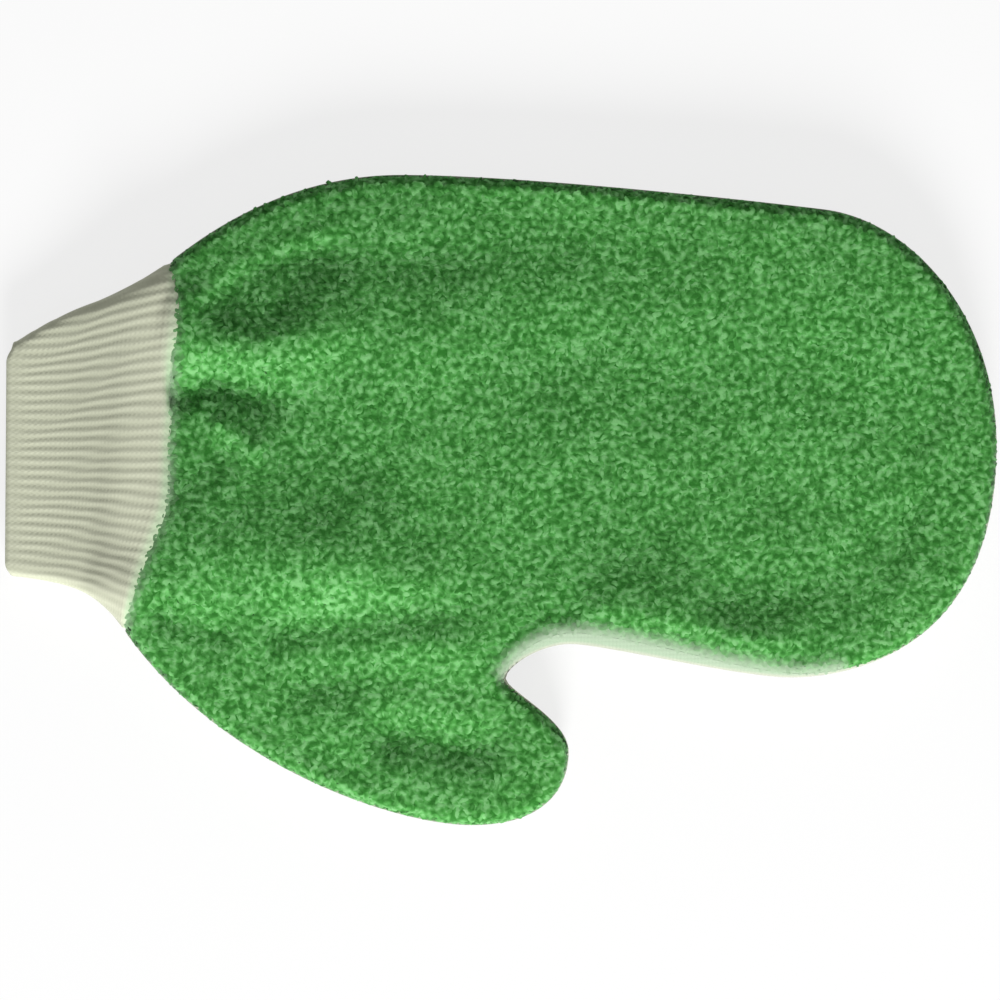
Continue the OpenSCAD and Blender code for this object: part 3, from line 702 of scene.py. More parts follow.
def soften(piece, share):
    """Turns a pile's shading towards its ground cloth, as soft yarn spreads the light."""
    mesh = piece.data
    facing = np.zeros(len(mesh.vertices) * 3, np.float32)
    mesh.attributes["facing"].data.foreach_get("vector", facing)
    own = np.zeros(len(mesh.vertices) * 3, np.float32)
    mesh.vertex_normals.foreach_get("vector", own)
    mixed_normals = unit((share * facing + (1 - share) * own).reshape(-1, 3))
    mesh.attributes.remove(mesh.attributes["facing"])
    mesh.normals_split_custom_set_from_vertices(mixed_normals.tolist())
    piece.visible_shadow = False


def grow(tree, base, name, values):
    """Runs a node tree on a base mesh and keeps the result as a plain piece."""
    carrier = add_object(name + "_carrier", base)
    modifier = carrier.modifiers.new("grow", "NODES")
    modifier.node_group = tree
    for item in tree.interface.items_tree:
        if item.in_out == "INPUT" and item.name in values:
            modifier[item.identifier] = values[item.name]
    depsgraph = bpy.context.evaluated_depsgraph_get()
    mesh = bpy.data.meshes.new_from_object(carrier.evaluated_get(depsgraph),
                                           preserve_all_data_layers=True, depsgraph=depsgraph)
    carrier.modifiers.clear()
    bpy.data.objects.remove(carrier)
    mesh.name = name
    return add_object(name, mesh)


# Node trees


class Tree:
    """A node tree with short ways to add and link nodes."""

    def __init__(self, owner):
        self.nodes, self.links = owner.nodes, owner.links

    def add(self, kind, settings=None, **inputs):
        """A node with its settings and inputs; an underscore stands for a space in an input's name."""
        node = self.nodes.new(kind)
        for key, value in (settings or {}).items():
            setattr(node, key, value)
        for key, value in inputs.items():
            self.put(node, key.replace("_", " "), value)
        return node

    def put(self, node, socket, value):
        """Links a socket, or a node's first output, to an input, or sets the input's value."""
        found = node.inputs[socket] if isinstance(socket, int) else next(
            s for s in node.inputs if s.name == socket and s.enabled)
        if isinstance(value, bpy.types.Node):
            value = value.outputs[0]
        if isinstance(value, bpy.types.NodeSocket):
            self.links.new(value, found)
        else:
            found.default_value = value

    def by_place(self, node, *values):
        """A node whose inputs are given in order."""
        for i, value in enumerate(values):
            self.put(node, i, value)
        return node

    def math(self, operation, *values):
        """The result of a sum on numbers."""
        return self.by_place(self.add("ShaderNodeMath", {"operation": operation}), *values)

    def times(self, a, b):
        """The product of two numbers."""
        return self.math("MULTIPLY", a, b)

    def vector(self, *values):
        """A vector from three numbers."""
        return self.by_place(self.add("ShaderNodeCombineXYZ"), *values)

    def noise(self, place, scale, detail):
        """Soft noise at a place."""
        return self.add("ShaderNodeTexNoise", Vector=place, Scale=scale, Detail=detail).outputs["Fac"]

    def attribute(self, name):
        """A number that the piece carries at each point."""
        return self.add("ShaderNodeAttribute", {"attribute_name": name}).outputs["Fac"]


def new_growth(name, sizes, counts=()):
    """An empty geometry tree with named inputs, and its input and output nodes."""
    group = bpy.data.node_groups.new(name, "GeometryNodeTree")
    sockets = group.interface.new_socket
    sockets("Geometry", in_out="OUTPUT", socket_type="NodeSocketGeometry")
    sockets("Geometry", in_out="INPUT", socket_type="NodeSocketGeometry")
    for label in sizes:
        sockets(label, in_out="INPUT", socket_type="NodeSocketFloat")
    for label in counts:
        sockets(label, in_out="INPUT", socket_type="NodeSocketInt")
    tree = Tree(group)
    return group, tree, tree.add("NodeGroupInput").outputs, tree.add("NodeGroupOutput")


def finish_growth(tree, geometry, material, out, ruffle=None):
    """Ends a growth tree with real geometry, ruffled where asked, and its material."""
    real = tree.add("GeometryNodeRealizeInstances", Geometry=geometry)
    if ruffle is not None:
        noise = tree.add("ShaderNodeTexNoise", Scale=650.0, Detail=1.0)
        push = tree.by_place(tree.add("ShaderNodeVectorMath", {"operation": "SUBTRACT"}),
                             noise.outputs["Color"], (0.5, 0.5, 0.5))
        push = tree.add("ShaderNodeVectorMath", {"operation": "SCALE"}, Vector=push, Scale=ruffle)
        real = tree.add("GeometryNodeSetPosition", Geometry=real, Offset=push)
    smooth = tree.add("GeometryNodeSetShadeSmooth", Geometry=real)
    coloured = tree.add("GeometryNodeSetMaterial", Geometry=smooth, Material=material)
    tree.put(out, 0, coloured)


def yarn_arch(t, radius, start, start_handle, end_handle, end):
    """A short arch of yarn between two feet, with closed ends."""
    arch = t.add("GeometryNodeCurvePrimitiveBezierSegment", Resolution=6, Start=start,
                 Start_Handle=start_handle, End_Handle=end_handle, End=end)
    ring = t.add("GeometryNodeCurvePrimitiveCircle", Resolution=5, Radius=radius)
    return t.add("GeometryNodeCurveToMesh", Curve=arch, Profile_Curve=ring,
                 Fill_Caps=True)


def pile_growth(material):
    """Loops of yarn that stand all over a cloth, each turned and leaning its own way."""
    crowding, sunk, pull, bulge, lean_share = 6.0, -0.30, 1.36, 1.15, 0.42
    tilt, nod, full_turn, smallest, largest, narrowest = 0.75, 0.45, 6.2832, 0.75, 1.2, 0.65
    group, t, given, out = new_growth(
        "pile_loops", ("Loop width", "Loop height", "Yarn radius", "Spacing", "Ruffle"), ("Seed",))
    width, height, radius = (given[n] for n in ("Loop width", "Loop height", "Yarn radius"))
    most = t.math("DIVIDE", crowding, t.math("POWER", given["Spacing"], 2.0))
    spread = t.add("GeometryNodeDistributePointsOnFaces", {"distribute_method": "POISSON"},
                   Mesh=given["Geometry"], Distance_Min=given["Spacing"], Density_Max=most,
                   Seed=given["Seed"])
    foot = t.times(height, sunk)
    crown = t.times(t.math("SUBTRACT", height, radius), pull)
    half = t.times(width, 0.5)
    lean = t.times(width, lean_share)
    loop = yarn_arch(t, radius, t.vector(t.times(half, -1.0), 0.0, foot),
                     t.vector(t.times(half, -bulge), lean, crown),
                     t.vector(t.times(half, bulge), t.times(lean, -1.0), crown),
                     t.vector(half, 0.0, foot))

    def chance(low, high, step):
        node = t.add("FunctionNodeRandomValue", {"data_type": "FLOAT"},
                     Min=low, Max=high, Seed=t.math("ADD", given["Seed"], step))
        return next(s for s in node.outputs if s.enabled)

    turn = t.add("FunctionNodeEulerToRotation", Euler=t.vector(
        chance(-tilt, tilt, 1.0), chance(-nod, nod, 2.0), chance(0.0, full_turn, 3.0)))
    facing = t.add("FunctionNodeRotateRotation", {"rotation_space": "LOCAL"},
                   Rotation=spread.outputs["Rotation"], Rotate_By=turn)
    length = t.add("GeometryNodeInputNamedAttribute", {"data_type": "FLOAT"}, Name="pile")
    tall = next(s for s in length.outputs if s.enabled and s.name == "Attribute")
    size = chance(smallest, largest, 4.0)
    wide = t.times(size, t.math("MULTIPLY_ADD", tall, 1 - narrowest, narrowest))
    based = t.add("GeometryNodeStoreNamedAttribute", {"data_type": "FLOAT_VECTOR"},
                  Geometry=spread.outputs["Points"], Name="facing", Value=spread.outputs["Normal"])
    loops = t.add("GeometryNodeInstanceOnPoints", Points=based, Instance=loop,
                  Rotation=facing, Scale=t.vector(wide, wide, t.times(size, tall)))
    toned = t.add("GeometryNodeStoreNamedAttribute", {"data_type": "FLOAT", "domain": "INSTANCE"},
                  Geometry=loops, Name="tone", Value=chance(0.0, 1.0, 5.0))
    finish_growth(t, toned, material, out, t.times(given["Ruffle"], tall))
    return group


def overlock_growth(material):
    """Overlock thread: a loop of thread over a cloth's edge at every stitch."""
    arch_share, slant_bulge, width_bulge = 0.42, 0.6, 0.8
    group, t, given, out = new_growth(
        "overlock_stitches", ("Stitch pitch", "Stitch width", "Thread radius"))
    line = t.add("GeometryNodeMeshToCurve", Mesh=given["Geometry"])
    points = t.add("GeometryNodeResampleCurve", {"mode": "LENGTH"}, Curve=line,
                   Length=given["Stitch pitch"])
    half = t.times(given["Stitch width"], 0.5)
    slant = t.times(given["Stitch pitch"], 0.5)
    rise = t.times(given["Stitch width"], arch_share)
    stitch = yarn_arch(t, given["Thread radius"],
                       t.vector(t.times(slant, -1.0), t.times(half, -1.0), 0.0),
                       t.vector(t.times(slant, -slant_bulge), t.times(half, -width_bulge), rise),
                       t.vector(t.times(slant, slant_bulge), t.times(half, width_bulge), rise),
                       t.vector(slant, half, 0.0))
    tangent = t.add("GeometryNodeInputTangent")
    facing = t.add("FunctionNodeAlignRotationToVector", {"axis": "X", "pivot_axis": "Z"},
                   Vector=tangent)
    stitches = t.add("GeometryNodeInstanceOnPoints", Points=points, Instance=stitch,
                     Rotation=facing)
    finish_growth(t, stitches, material, out)
    return group


# Materials


def clear_tree(owner):
    """The emptied node tree of a material or a world."""
    owner.use_nodes = True
    owner.node_tree.nodes.clear()
    return Tree(owner.node_tree)


def new_material(name):
    """An empty material with a Principled surface, its tree, and the place in the object."""
    material = bpy.data.materials.new(name)
    t = clear_tree(material)
    surface = t.add("ShaderNodeBsdfPrincipled")
    t.add("ShaderNodeOutputMaterial", Surface=surface)
    return material, t, surface, t.add("ShaderNodeTexCoord").outputs["Object"]


def mixed(t, factor, first, second):
    """A colour between two, by a factor; each is a socket or three numbers."""
    node = t.add("ShaderNodeMix", {"data_type": "RGBA"})
    t.put(node, 0, factor)
    for socket, colour in ((6, first), (7, second)):
        t.put(node, socket, colour if isinstance(colour, bpy.types.NodeSocket) else (*colour, 1))
    return node.outputs[2]


def paled(t, colour, pale):
    """A colour that turns to a pale one where the piece's own attribute says so."""
    return mixed(t, t.attribute("pale"), colour, pale)


def finish_cloth(t, surface, colour, height, relief, roughness, sheen):
    """Gives a cloth its colour, its bump of a strength and a depth, and the shader's constants."""
    strength, deep = relief
    t.put(surface, "Base Color", colour)
    bump = t.add("ShaderNodeBump", Strength=strength, Distance=deep, Height=height)
    t.put(surface, "Normal", bump)
    constants = {"Roughness": roughness, "Specular IOR Level": 0.18,
                 "Sheen Weight": sheen, "Sheen Roughness": 0.5}
    for socket, value in constants.items():
        surface.inputs[socket].default_value = value


@cache
def pile_material(dark, main, light, pale):
    """Loop yarn in clouds of tone as large as a loop, paler beside a pale seam: the crotch's pale
    strip, and a painted highlight beside the cuff's seam.
    """
    loop_tone = 0.16
    material, t, surface, place = new_material("pile_yarn")
    cloud = t.noise(place, scale=540.0, detail=0.0)
    fibre = t.noise(place, scale=2600.0, detail=2.0)
    tone = t.math("MULTIPLY_ADD", t.attribute("tone"), loop_tone, cloud)
    ramp = t.add("ShaderNodeValToRGB", Fac=tone)
    stops = ramp.color_ramp.elements
    stops[0].position, stops[0].color = 0.34, (*dark, 1)
    stops[1].position, stops[1].color = 0.82, (*light, 1)
    stops.new(0.58).color = (*main, 1)
    colour = paled(t, ramp.outputs["Color"], pale)
    finish_cloth(t, surface, colour, fibre, relief=(0.55, 0.00025), roughness=0.92, sheen=0.12)
    return material


@cache
def jersey_material(light, pale):
    """Plain knit: columns of small stitches on the flat of the cloth."""
    wale, course, zigzag, shade = 0.0012, 0.0010, 2.2, 0.80
    course_height, fuzz_height, stitch_tone, cloud_tone = 0.3, 0.4, 0.35, 0.6
    material, t, surface, place = new_material("cream_jersey")
    split = t.add("ShaderNodeSeparateXYZ", Vector=place)
    across = t.times(split.outputs[1], 2 * np.pi / wale)
    down = t.times(split.outputs[0], 2 * np.pi / course)
    slant = t.math("ADD", down, t.times(t.math("ABSOLUTE", t.math("SINE", across)), zigzag))
    column = t.math("ABSOLUTE", t.math("SINE", t.times(across, 0.5)))
    stitch = t.math("MULTIPLY_ADD", t.math("SINE", slant), course_height, column)
    cloud = t.noise(place, scale=45.0, detail=3.0)
    fuzz = t.noise(place, scale=1400.0, detail=2.0)
    # The hollows of the stitches take the darker colour as painted shade; the clouds are random tone.
    tone = t.math("MULTIPLY_ADD", stitch, stitch_tone, t.times(cloud, cloud_tone))
    colour = paled(t, mixed(t, tone, [shade * c for c in light], light), pale)
    height = t.math("MULTIPLY_ADD", fuzz, fuzz_height, stitch)
    finish_cloth(t, surface, colour, height, relief=(0.5, 0.00022), roughness=0.88, sheen=0.08)
    return material


@cache
def rib_material(groove, crest, pale):
    """Rib knit: pale ribs, grooves darkened by painted shade, a row of stitches down each rib, and a
    pale band beside the seam that is painted highlight.
    """
    row_length, zigzag, row_height = 0.13, 1.6, 0.5
    rib_tone, row_tone, cloud_tone = 0.75, 0.06, 0.5
    material, t, surface, place = new_material("rib_knit")
    knit = t.add("ShaderNodeUVMap", {"uv_map": "knit"})
    split = t.add("ShaderNodeSeparateXYZ", Vector=knit)
    turn = t.times(split.outputs[0], 2 * np.pi)
    rib = t.math("MULTIPLY_ADD", t.math("COSINE", turn), 0.5, 0.5)
    slant = t.times(t.math("ABSOLUTE", t.math("SINE", turn)), zigzag)
    row = t.math("SINE", t.math("MULTIPLY_ADD", split.outputs[1], 2 * np.pi / row_length, slant))
    cloud = t.noise(place, scale=60.0, detail=3.0)
    fuzz = t.noise(place, scale=1500.0, detail=2.0)
    # The clouds are random tone; the hollows of the rows of stitches and the grooves between ribs take
    # the darker colour as painted shade.
    clouded = t.math("MULTIPLY_ADD", cloud, cloud_tone, -cloud_tone / 2)
    clouded = t.math("ADD", clouded, t.times(row, row_tone))
    tone = t.math("ADD", t.times(rib, rib_tone), clouded)
    colour = paled(t, mixed(t, tone, groove, crest), pale)
    height = t.math("MULTIPLY_ADD", row, row_height, fuzz)
    finish_cloth(t, surface, colour, height, relief=(0.25, 0.0002), roughness=0.9, sheen=0.08)
    return material


@cache
def thread_material(colour):
    """Smooth overlock thread with a slight twist."""
    shade = 0.75
    material, t, surface, place = new_material("overlock_thread")
    twist = t.noise(place, scale=1800.0, detail=1.0)
    # The thread is darker where its twist lies low, as painted shade.
    tones = mixed(t, twist, [shade * c for c in colour], colour)
    finish_cloth(t, surface, tones, twist, relief=(0.4, 0.0001), roughness=0.7, sheen=0.05)
    return material


def cream_jersey(colours):
    """The jersey of the back, the lining and the allowances."""
    return jersey_material(tuple(colours.jersey), tuple(colours.strip))


# Motion and cloth sizes

# The bodies of the hand, and how the names of their nodes start
STEMS = {"palm": "palm", "fingers": "finger", "thumb": "thumb"}


def follow(piece, body):
    """Palm pieces ride on the palm; the others keep their place, baked into their points."""
    if body == "palm":
        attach(piece, "palm")
        return
    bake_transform(piece)


def chosen(context):
    """The sizes and colours that the user has set."""
    return context.scene.mitt_sizes, context.scene.mitt_colours


class MITT_OT_face(bpy.types.Operator):
    """Make the ground cloth of the face and the loops of pile that stand on it"""

    bl_idname = "mitt.face"
    bl_label = "Pile face"

    def execute(self, context):
        shortest, short_rim, least_sink, sink_rim, edge_sink = 0.24, 5, 0.06, 6, 0.4
        split_y, first_seed, softness = 14, 11, 0.85
        sizes, colours = chosen(context)
        skin = hand_skin(sizes.fold_depth)
        from_pale = np.minimum(skin.from_seam, skin.from_wrist + 1)
        share = shortest + (1 - shortest) * ease(from_pale / short_rim)
        sink = np.maximum(least_sink + (1 - least_sink) * ease(skin.from_seam / sink_rim),
                          edge_sink * ease(1 - skin.from_edge))
        outer = skin.points - skin.normals * (sizes.pile_height / MM * PILE_SINK * sink)[:, None]
        inner = outer - skin.normals * sizes.ground_cloth / MM
        yarn = pile_material(tuple(colours.pile_dark), tuple(colours.pile),
                             tuple(colours.pile_light), tuple(colours.strip))
        tree = pile_growth(yarn)
        values = {"Loop width": sizes.loop_width, "Loop height": sizes.pile_height,
                  "Yarn radius": sizes.yarn_radius, "Spacing": sizes.loop_spacing,
                  "Ruffle": sizes.ruffle}
        for number, (body, stem) in enumerate(STEMS.items()):
            faces = of_body(skin.points, skin.face, body)
            cloth = add_cloth(stem + "_pile_ground", outer, inner, faces, yarn)
            set_pale(cloth, skin.pale[np.unique(faces)])
            y = skin.points[faces][:, :, 1].mean(axis=1)
            parts = [faces] if body == "thumb" else [faces[y < split_y], faces[y >= split_y]]
            loops = []
            for part, some in enumerate(parts):
                used, local = np.unique(some, return_inverse=True)
                base = bpy.data.meshes.new(stem + "_pile_base")
                base.from_pydata((outer[used] * MM).tolist(), [], local.reshape(-1, 3).tolist())
                store(base, "pile", share[used])
                store(base, "pale", skin.pale[used])
                values["Seed"] = first_seed + 10 * number + part
                loops.append(grow(tree, base, f"{stem}_pile_loops_{part + 1}", values))
                soften(loops[-1], softness)
            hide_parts(stem + "_face")
            for piece in (cloth, *loops):
                follow(piece, body)
        return {"FINISHED"}


class MITT_OT_back(bpy.types.Operator):
    """Make the plain jersey back, which rolls round the edge to the front"""

    bl_idname = "mitt.back"
    bl_label = "Jersey back"

    def execute(self, context):
        sizes, colours = chosen(context)
        skin = hand_skin(sizes.fold_depth)
        inner = skin.points - skin.normals * sizes.jersey / MM
        for body, stem in STEMS.items():
            faces = of_body(skin.points, skin.back, body)
            piece = add_cloth(stem + "_back_cloth", skin.points, inner, faces, cream_jersey(colours))
            set_pale(piece, skin.strip[np.unique(faces)])
            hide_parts("finger_back_panel" if body == "fingers" else stem + "_back")
            follow(piece, body)
        return {"FINISHED"}


class MITT_OT_lining(bpy.types.Operator):
    """Make the jersey lining under the face"""

    bl_idname = "mitt.lining"
    bl_label = "Lining"

    def execute(self, context):
        clearance, edge_room = 0.5, 0.5
        sizes, colours = chosen(context)
        skin = hand_skin(sizes.fold_depth)
        gap = sizes.pile_height / MM * PILE_SINK + sizes.ground_cloth / MM + clearance
        outer = skin.points - skin.normals * gap
        inner = outer - skin.normals * sizes.jersey / MM
        for body, stem in STEMS.items():
            faces = of_body(skin.points, skin.face, body)
            faces = faces[skin.from_seam[faces].min(axis=1) > edge_room]
            piece = add_cloth(stem + "_lining_cloth", outer, inner, faces, cream_jersey(colours))
            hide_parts(stem + "_lining")
            follow(piece, body)
        return {"FINISHED"}


def add_stitches(name, lines, sizes, tree):
    """Overlock stitches along lines of points, each with its edges."""
    base = bpy.data.meshes.new(name + "_line")
    points, edges = [], []
    for line, sides in lines:
        edges += [(a + len(points), b + len(points)) for a, b in sides]
        points += (line * MM).tolist()
    base.from_pydata(points, edges, [])
    return grow(tree, base, name, {"Stitch pitch": sizes.stitch_pitch,
                                   "Stitch width": sizes.stitch_width,
                                   "Thread radius": sizes.thread_radius})


class MITT_OT_seams(bpy.types.Operator):
    """Make the overlocked allowances that are turned inside the edge"""

    bl_idname = "mitt.seams"
    bl_label = "Turned edge seams"

    def execute(self, context):
        from_edge, width, half_thick, wrist_gap = 4.6, 4.6, 0.55, 4
        stitch_in, stitch_up = 0.8, 0.5
        waves = ((0.35, 0.9, 0), (0.2, 0.37, 1))
        sizes, colours = chosen(context)
        edge = outline()
        tree = overlock_growth(thread_material(tuple(colours.thread)))
        top, bottom, crotch, heel = edge.marks[1:5]
        runs = {"palm": ((wrist_gap, top), (bottom, crotch)), "fingers": ((top, bottom),),
                "thumb": ((crotch, heel),)}
        up = np.array((0, 0, half_thick))
        for body, stem in STEMS.items():
            pieces, lengths, lines = [], [], []
            for number, (first, last) in enumerate(runs[body]):
                i = np.arange(first, last + 1)
                wave = sum(high * np.sin(i * rate + phase) for high, rate, phase in waves)
                strip = np.array([
                    np.column_stack((edge.points[i] + edge.inward[i] * depth,
                                     SEAM_Z + wave * (depth - from_edge) / width))
                    for depth in np.linspace(from_edge, from_edge + width, 5)])
                inset = np.column_stack((edge.inward[i] * stitch_in, 0 * wave - stitch_up))
                lines.append((strip[-1] - inset, chain(range(len(i)))))
                lengths.append(float(travelled(strip[2]).max() * MM))
                pieces.append(add_grid(f"{stem}_edge_allowance_{number + 1}", strip + up, strip - up,
                                       cream_jersey(colours), False))
            stitches = add_stitches(stem + "_edge_stitches", lines, sizes, tree)
            for piece in (*pieces, stitches):
                follow(piece, body)
            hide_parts(stem + "_edge_seam")
        return {"FINISHED"}


def cuff_row(f, place, ribs):
    """Points of the cuff's outside at share f of its length, by place in ribs, and which are on top.

    On the front the ribs keep a set pitch, and run level from the mouth; the rest go to the back.
    """
    spreading, height_share = 1.6, 0.4
    upper = curve_at(MOUTH_UPPER, WRIST_UPPER, [f])[0]
    lower = curve_at(MOUTH_LOWER, CUFF_LOWER_END, [f])[0]
    swell = float(ease(f))
    rim, fall, rise = (MOUTH_HALF + (wrist - MOUTH_HALF) * swell
                       for wrist in (RIM, BACK_FALL, FRONT_RISE))
    pitch = RIB_PITCH + RIB_SPREAD * f ** spreading
    fine = 0.5 - 0.5 * np.cos(np.pi * np.linspace(0, 1, 161))
    plan = upper + (lower - upper) * fine[:, None]
    d = distance(plan, edge_line())
    d[0] = d[-1] = 0
    across = fine * np.linalg.norm(lower - upper)

    def at(share, height):
        xy = upper + (lower - upper) * share[:, None]
        return np.column_stack((xy, np.interp(share, fine, height)))

    top = fall + rise * dome(d, rim, CUFF_STEEP)
    path = travelled(np.column_stack((across, height_share * top)))
    middle = np.interp(-LEVEL_RIB, -plan[:, 1], path)
    first, last = -middle / pitch, (path[-1] - middle) / pitch
    front = (place >= first) & (place <= last)
    row = np.zeros((len(place), 3))
    row[front] = at(np.interp(middle + place[front] * pitch, path, fine), top)
    under = fall - fall * dome(d, rim, BACK_STEEP)
    path = travelled(np.column_stack((across, under)))
    past = np.where(place > last, place - last, place + ribs - last)[~front]
    row[~front] = at(np.interp(1 - past / (ribs - last + first), path / path[-1], fine), under)
    return row, front


def cuff_outside(place, ribs, steps, mouth_gap, fold_depth):
    """The cuff's outside, by steps of its length and place in ribs, with what its ends need.

    It runs on past the wrist line to its seam, each rib in its own slant, and takes on the
    hand's height there. Also each rib's share of the wrist line, and which places are on top.
    """
    rows, calm_ends, past_seam, corner_width, corner_cut, merging = 40, 0.12, 0.8, 4, 0.9, 14
    columns = np.arange(len(place))
    table, on_top = (np.array(found) for found in zip(
        *(cuff_row(f, place, ribs) for f in np.linspace(0, 1, rows + 1))))
    share = np.clip(wrist_share(table[-1][:, :2]), 0, 1)
    onward = (table[-1] - table[-3])[:, :2]
    slant = (onward @ WRIST_DOWN) / np.maximum(onward @ WRIST_ACROSS, 1e-3)
    slant *= soft_ends(share, calm_ends)
    end = share + slant * bow(share) / WRIST_LENGTH
    reach = np.where(on_top[-1], bow(end) + past_seam, past_seam) / CUFF_LENGTH
    corner = 1 - np.clip(distance(table[0][:, :2], edge_line()) / corner_width, 0, 1)
    start = (mouth_gap + corner_cut * corner ** 2) / CUFF_LENGTH
    g = start + (1 + reach - start) * steps[:, None]
    low = np.minimum((np.minimum(g, 1) * rows).astype(int), rows - 1)
    part = (np.minimum(g, 1) * rows - low)[..., None]
    outside = table[low, columns] * (1 - part) + table[low + 1, columns] * part
    onward = WRIST_ACROSS + slant[:, None] * WRIST_DOWN
    outside[..., :2] += np.maximum(g - 1, 0)[..., None] * CUFF_LENGTH * onward
    plan = outside[..., :2].reshape(-1, 2)
    top = front_height(plan, fold_depth).reshape(g.shape)
    merge = ease(past_wrist(plan).reshape(g.shape) / merging + 1)
    merge *= on_top[low, columns] & on_top[low + 1, columns]
    outside[..., 2] += (top - outside[..., 2]) * merge
    return outside, share, on_top[-1]


def cuff_folded(middle, normal, layer_gap):
    """The cuff's middle and normals from the wrist over the fold at the mouth to the wrist again."""
    bend = np.linspace(0, np.pi, 9)[1:-1, None, None]
    fold_normal = normal[0] * np.cos(bend) + np.array((-1.0, 0, 0)) * np.sin(bend)
    fold = middle[0] + (fold_normal - normal[0]) * layer_gap / 2
    return (np.concatenate((middle[::-1], fold, middle - normal * layer_gap)),
            np.concatenate((normal[::-1], fold_normal, -normal)))


class MITT_OT_cuff(bpy.types.Operator):
    """Make the rib-knit cuff, one cloth folded double with its fold at the mouth"""

    bl_idname = "mitt.cuff"
    bl_label = "Rib cuff"

    def execute(self, context):
        per_rib, between_layers, crest_share = 8, 0.75, 0.55
        tuck_depth, tuck_length, pale_start, pale_fade = 1.3, 2.2, 0.935, 0.05
        wobbles = ((0.08, 7, 0.8), (0.05, 19, 1.7))
        mouth_calm, calm_start, calm_fade = 0.25, 0.015, 0.06
        map_unit, fold_step, inner_start = 10, 0.35, 3
        sizes, colours = chosen(context)
        ribs, thick, depth = sizes.rib_count, sizes.rib_cloth / MM, sizes.rib_depth / MM
        layer_gap = thick + between_layers
        place = np.arange(ribs * per_rib) / per_rib - ribs / 2
        steps = np.append(np.linspace(0, 0.12, 7)[:-1], np.linspace(0.12, 1, 37))
        half_way = len(steps) // 2 - 1
        outside, share, on_top = cuff_outside(
            place, ribs, steps, layer_gap / 2 + thick / 2, sizes.fold_depth)

        side = np.roll(outside, -2, axis=1) - np.roll(outside, 2, axis=1)
        normal = unit(np.cross(side, np.gradient(outside, axis=0)))
        normal *= np.sign(normal[half_way, len(place) // 2, 2])
        tuck = tuck_depth * ease(1 - (1 - steps) * CUFF_LENGTH / tuck_length)
        middle = outside - normal * (thick / 2 + depth * crest_share + tuck[:, None, None])
        wobble = sum(high * np.sin(steps[:, None] * down + place * over)
                     for high, down, over in wobbles)
        calm = mouth_calm + (1 - mouth_calm) * ease((steps - calm_start) / calm_fade)
        wave = depth * 0.5 * np.cos(2 * np.pi * (place + wobble)) * calm[:, None]
        grid, facing = cuff_folded(middle + normal * wave[..., None], normal, layer_gap)
        skin = facing * thick / 2

        fold_rows = len(grid) - 2 * len(steps)
        lengths = np.concatenate((steps[::-1] * CUFF_LENGTH,
                                  -np.arange(1, fold_rows + 1) * fold_step,
                                  -inner_start - steps * CUFF_LENGTH)) / map_unit
        uv = np.stack(np.broadcast_arrays(place[None], lengths[:, None]), axis=-1)
        knit = rib_material(tuple(colours.rib_groove_shade), tuple(colours.rib), tuple(colours.welt))
        piece = add_grid("cuff_rib", grid + skin, grid - skin, knit, True, uv)
        # Beside the seam the knit takes the highlight colour as painted highlight.
        pale = np.zeros(grid.shape[:2])
        near_seam = ease((steps - pale_start) / pale_fade)[::-1, None]
        pale[:len(steps)] = near_seam * highlight_share(share) * on_top
        set_pale(piece, pale.ravel())

        follow(piece, "cuff")
        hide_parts("cuff_outer", "cuff_inner")
        return {"FINISHED"}


class MITT_OT_wrist(bpy.types.Operator):
    """Make the overlocked allowance of the wrist seam"""

    bl_idname = "mitt.wrist"
    bl_label = "Wrist seam"

    def execute(self, context):
        first, last, past_start, past_end = 0.06, 0.94, 1.2, 5.6
        under_face, over_back, half_thick = 5.4, 2.4, 0.5
        sizes, colours = chosen(context)
        share = np.linspace(first, last, 60)
        rings = []
        for across in np.linspace(past_start, past_end, 5):
            xy = wrist_at(share, across)
            front = np.column_stack((xy, front_height(xy, sizes.fold_depth) - under_face))
            back = np.column_stack((xy, back_height(xy) + over_back))
            rings.append(np.concatenate((front, back[::-1])))
        ring = np.array(rings)
        inward = np.zeros_like(ring)
        inward[..., 2] = half_thick * np.sign(np.median(ring[..., 2]) - ring[..., 2])
        allowance = add_grid("wrist_allowance", ring + inward, ring - inward,
                             cream_jersey(colours), True)
        count = ring.shape[1]
        line = (ring[3] + inward[3], [(k, (k + 1) % count) for k in range(count)])
        tree = overlock_growth(thread_material(tuple(colours.thread)))
        stitches = add_stitches("wrist_stitches", [line], sizes, tree)
        for piece in (allowance, stitches):
            follow(piece, "palm")
        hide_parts("wrist_seam")
        return {"FINISHED"}


def looked_at(t):
    """1 for rays that show the picture or a reflection in it, and 0 for rays that only light it."""
    path = t.add("ShaderNodeLightPath").outputs
    return t.math("MAXIMUM", path["Is Camera Ray"], t.math(
        "MAXIMUM", path["Is Glossy Ray"], path["Is Transmission Ray"]))


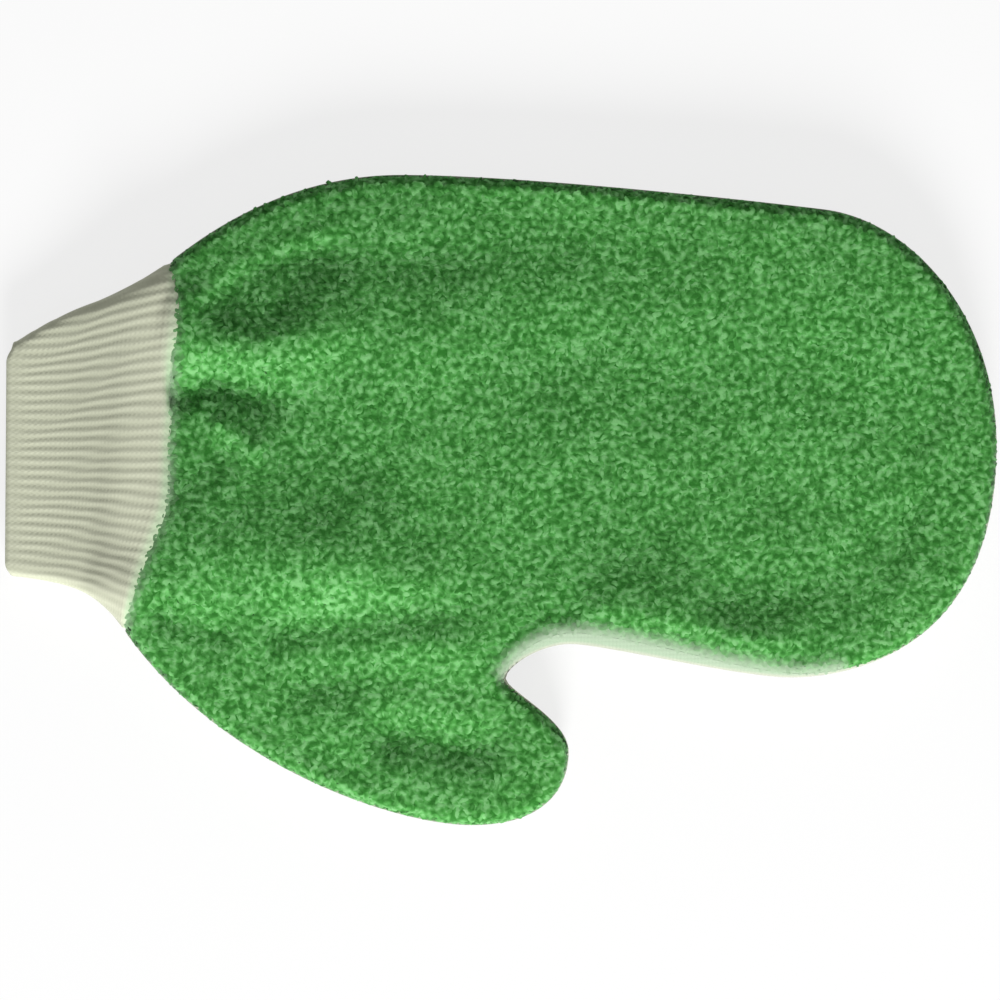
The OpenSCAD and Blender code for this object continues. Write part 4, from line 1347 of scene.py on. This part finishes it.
class MITT_OT_stage(bpy.types.Operator):
    """Make the floor, the lamp, the surrounding light and the camera"""

    bl_idname = "mitt.stage"
    bl_label = "Stage"

    def execute(self, context):
        scene, stage = context.scene, context.scene.mitt_stage
        lamp_size, lamp_at, camera_height, sensor = 1.0, (0.21, -2.07, 1.20), 3.0, 36.0
        scene.view_settings.view_transform = "Standard"
        self.add_floor(stage)

        scene.world = bpy.data.worlds.new("studio")
        t = clear_tree(scene.world)
        strength = t.math("MULTIPLY_ADD", looked_at(t), 1.0 - stage.sky, stage.sky)
        light = t.add("ShaderNodeBackground", Color=(1, 1, 1, 1), Strength=strength)
        t.add("ShaderNodeOutputWorld", Surface=light)

        data = bpy.data.lights.new("key_light", "AREA")
        data.shape, data.size, data.energy = "DISK", lamp_size, stage.key_power
        lamp = add_object("key_light", data)
        lamp.location = lamp_at
        lamp.rotation_euler = (-lamp.location).to_track_quat("-Z", "Y").to_euler()

        camera = bpy.data.cameras.new("camera")
        camera.sensor_width = sensor
        camera.lens = sensor * camera_height / stage.view_width
        camera.clip_start, camera.clip_end = 0.05, 20
        scene.camera = add_object("camera", camera)
        scene.camera.location = (0, 0, camera_height + SEAM_Z * MM)
        return {"FINISHED"}

    def add_floor(self, stage):
        """A large matt floor that glows where it is seen, as a lit studio sweep does."""
        half, drop, glow_share = 3.0, -0.0003, 0.78
        mesh = bpy.data.meshes.new("floor")
        mesh.from_pydata([(-half, -half, drop), (half, -half, drop), (half, half, drop),
                          (-half, half, drop)], [], [(0, 1, 2, 3)])
        material = bpy.data.materials.new("pale_floor")
        t = clear_tree(material)
        matt = t.add("ShaderNodeBsdfDiffuse", Color=(*stage.floor, 1))
        glow = t.add("ShaderNodeEmission", Color=(1, 1, 1, 1), Strength=1.0)
        mix = t.by_place(t.add("ShaderNodeMixShader"), t.times(looked_at(t), glow_share),
                         matt, glow)
        t.add("ShaderNodeOutputMaterial", Surface=mix)
        mesh.materials.append(material)
        add_object("floor", mesh)


class MITT_PT_parts(bpy.types.Panel):
    """The mitt's pieces, sizes and colours"""

    bl_idname = "MITT_PT_parts"
    bl_label = "Grooming mitt"
    bl_space_type = "VIEW_3D"
    bl_region_type = "UI"
    bl_category = "Mitt"

    def draw(self, context):
        for operator in OPERATORS:
            self.layout.operator(operator.bl_idname)
        for group in GROUPS:
            found = getattr(context.scene, group)
            box = self.layout.box()
            for name in found.__annotations__:
                box.prop(found, name)


OPERATORS = (MITT_OT_stage, MITT_OT_face, MITT_OT_back, MITT_OT_lining, MITT_OT_seams,
             MITT_OT_cuff, MITT_OT_wrist)
GROUPS = {"mitt_sizes": MittSizes, "mitt_colours": MittColours, "mitt_stage": MittStage}
CLASSES = (*GROUPS.values(), *OPERATORS, MITT_PT_parts)


def register():
    for cls in CLASSES:
        bpy.utils.register_class(cls)
    for name, group in GROUPS.items():
        setattr(bpy.types.Scene, name, PointerProperty(type=group))


def unregister():
    for name in GROUPS:
        delattr(bpy.types.Scene, name)
    for cls in reversed(CLASSES):
        bpy.utils.unregister_class(cls)


def main():
    register()
    bpy.ops.mitt.stage()
    bpy.ops.mitt.face()
    bpy.ops.mitt.back()
    bpy.ops.mitt.lining()
    bpy.ops.mitt.seams()
    bpy.ops.mitt.cuff()
    bpy.ops.mitt.wrist()
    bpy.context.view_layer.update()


if __name__ == "__main__":
    main()
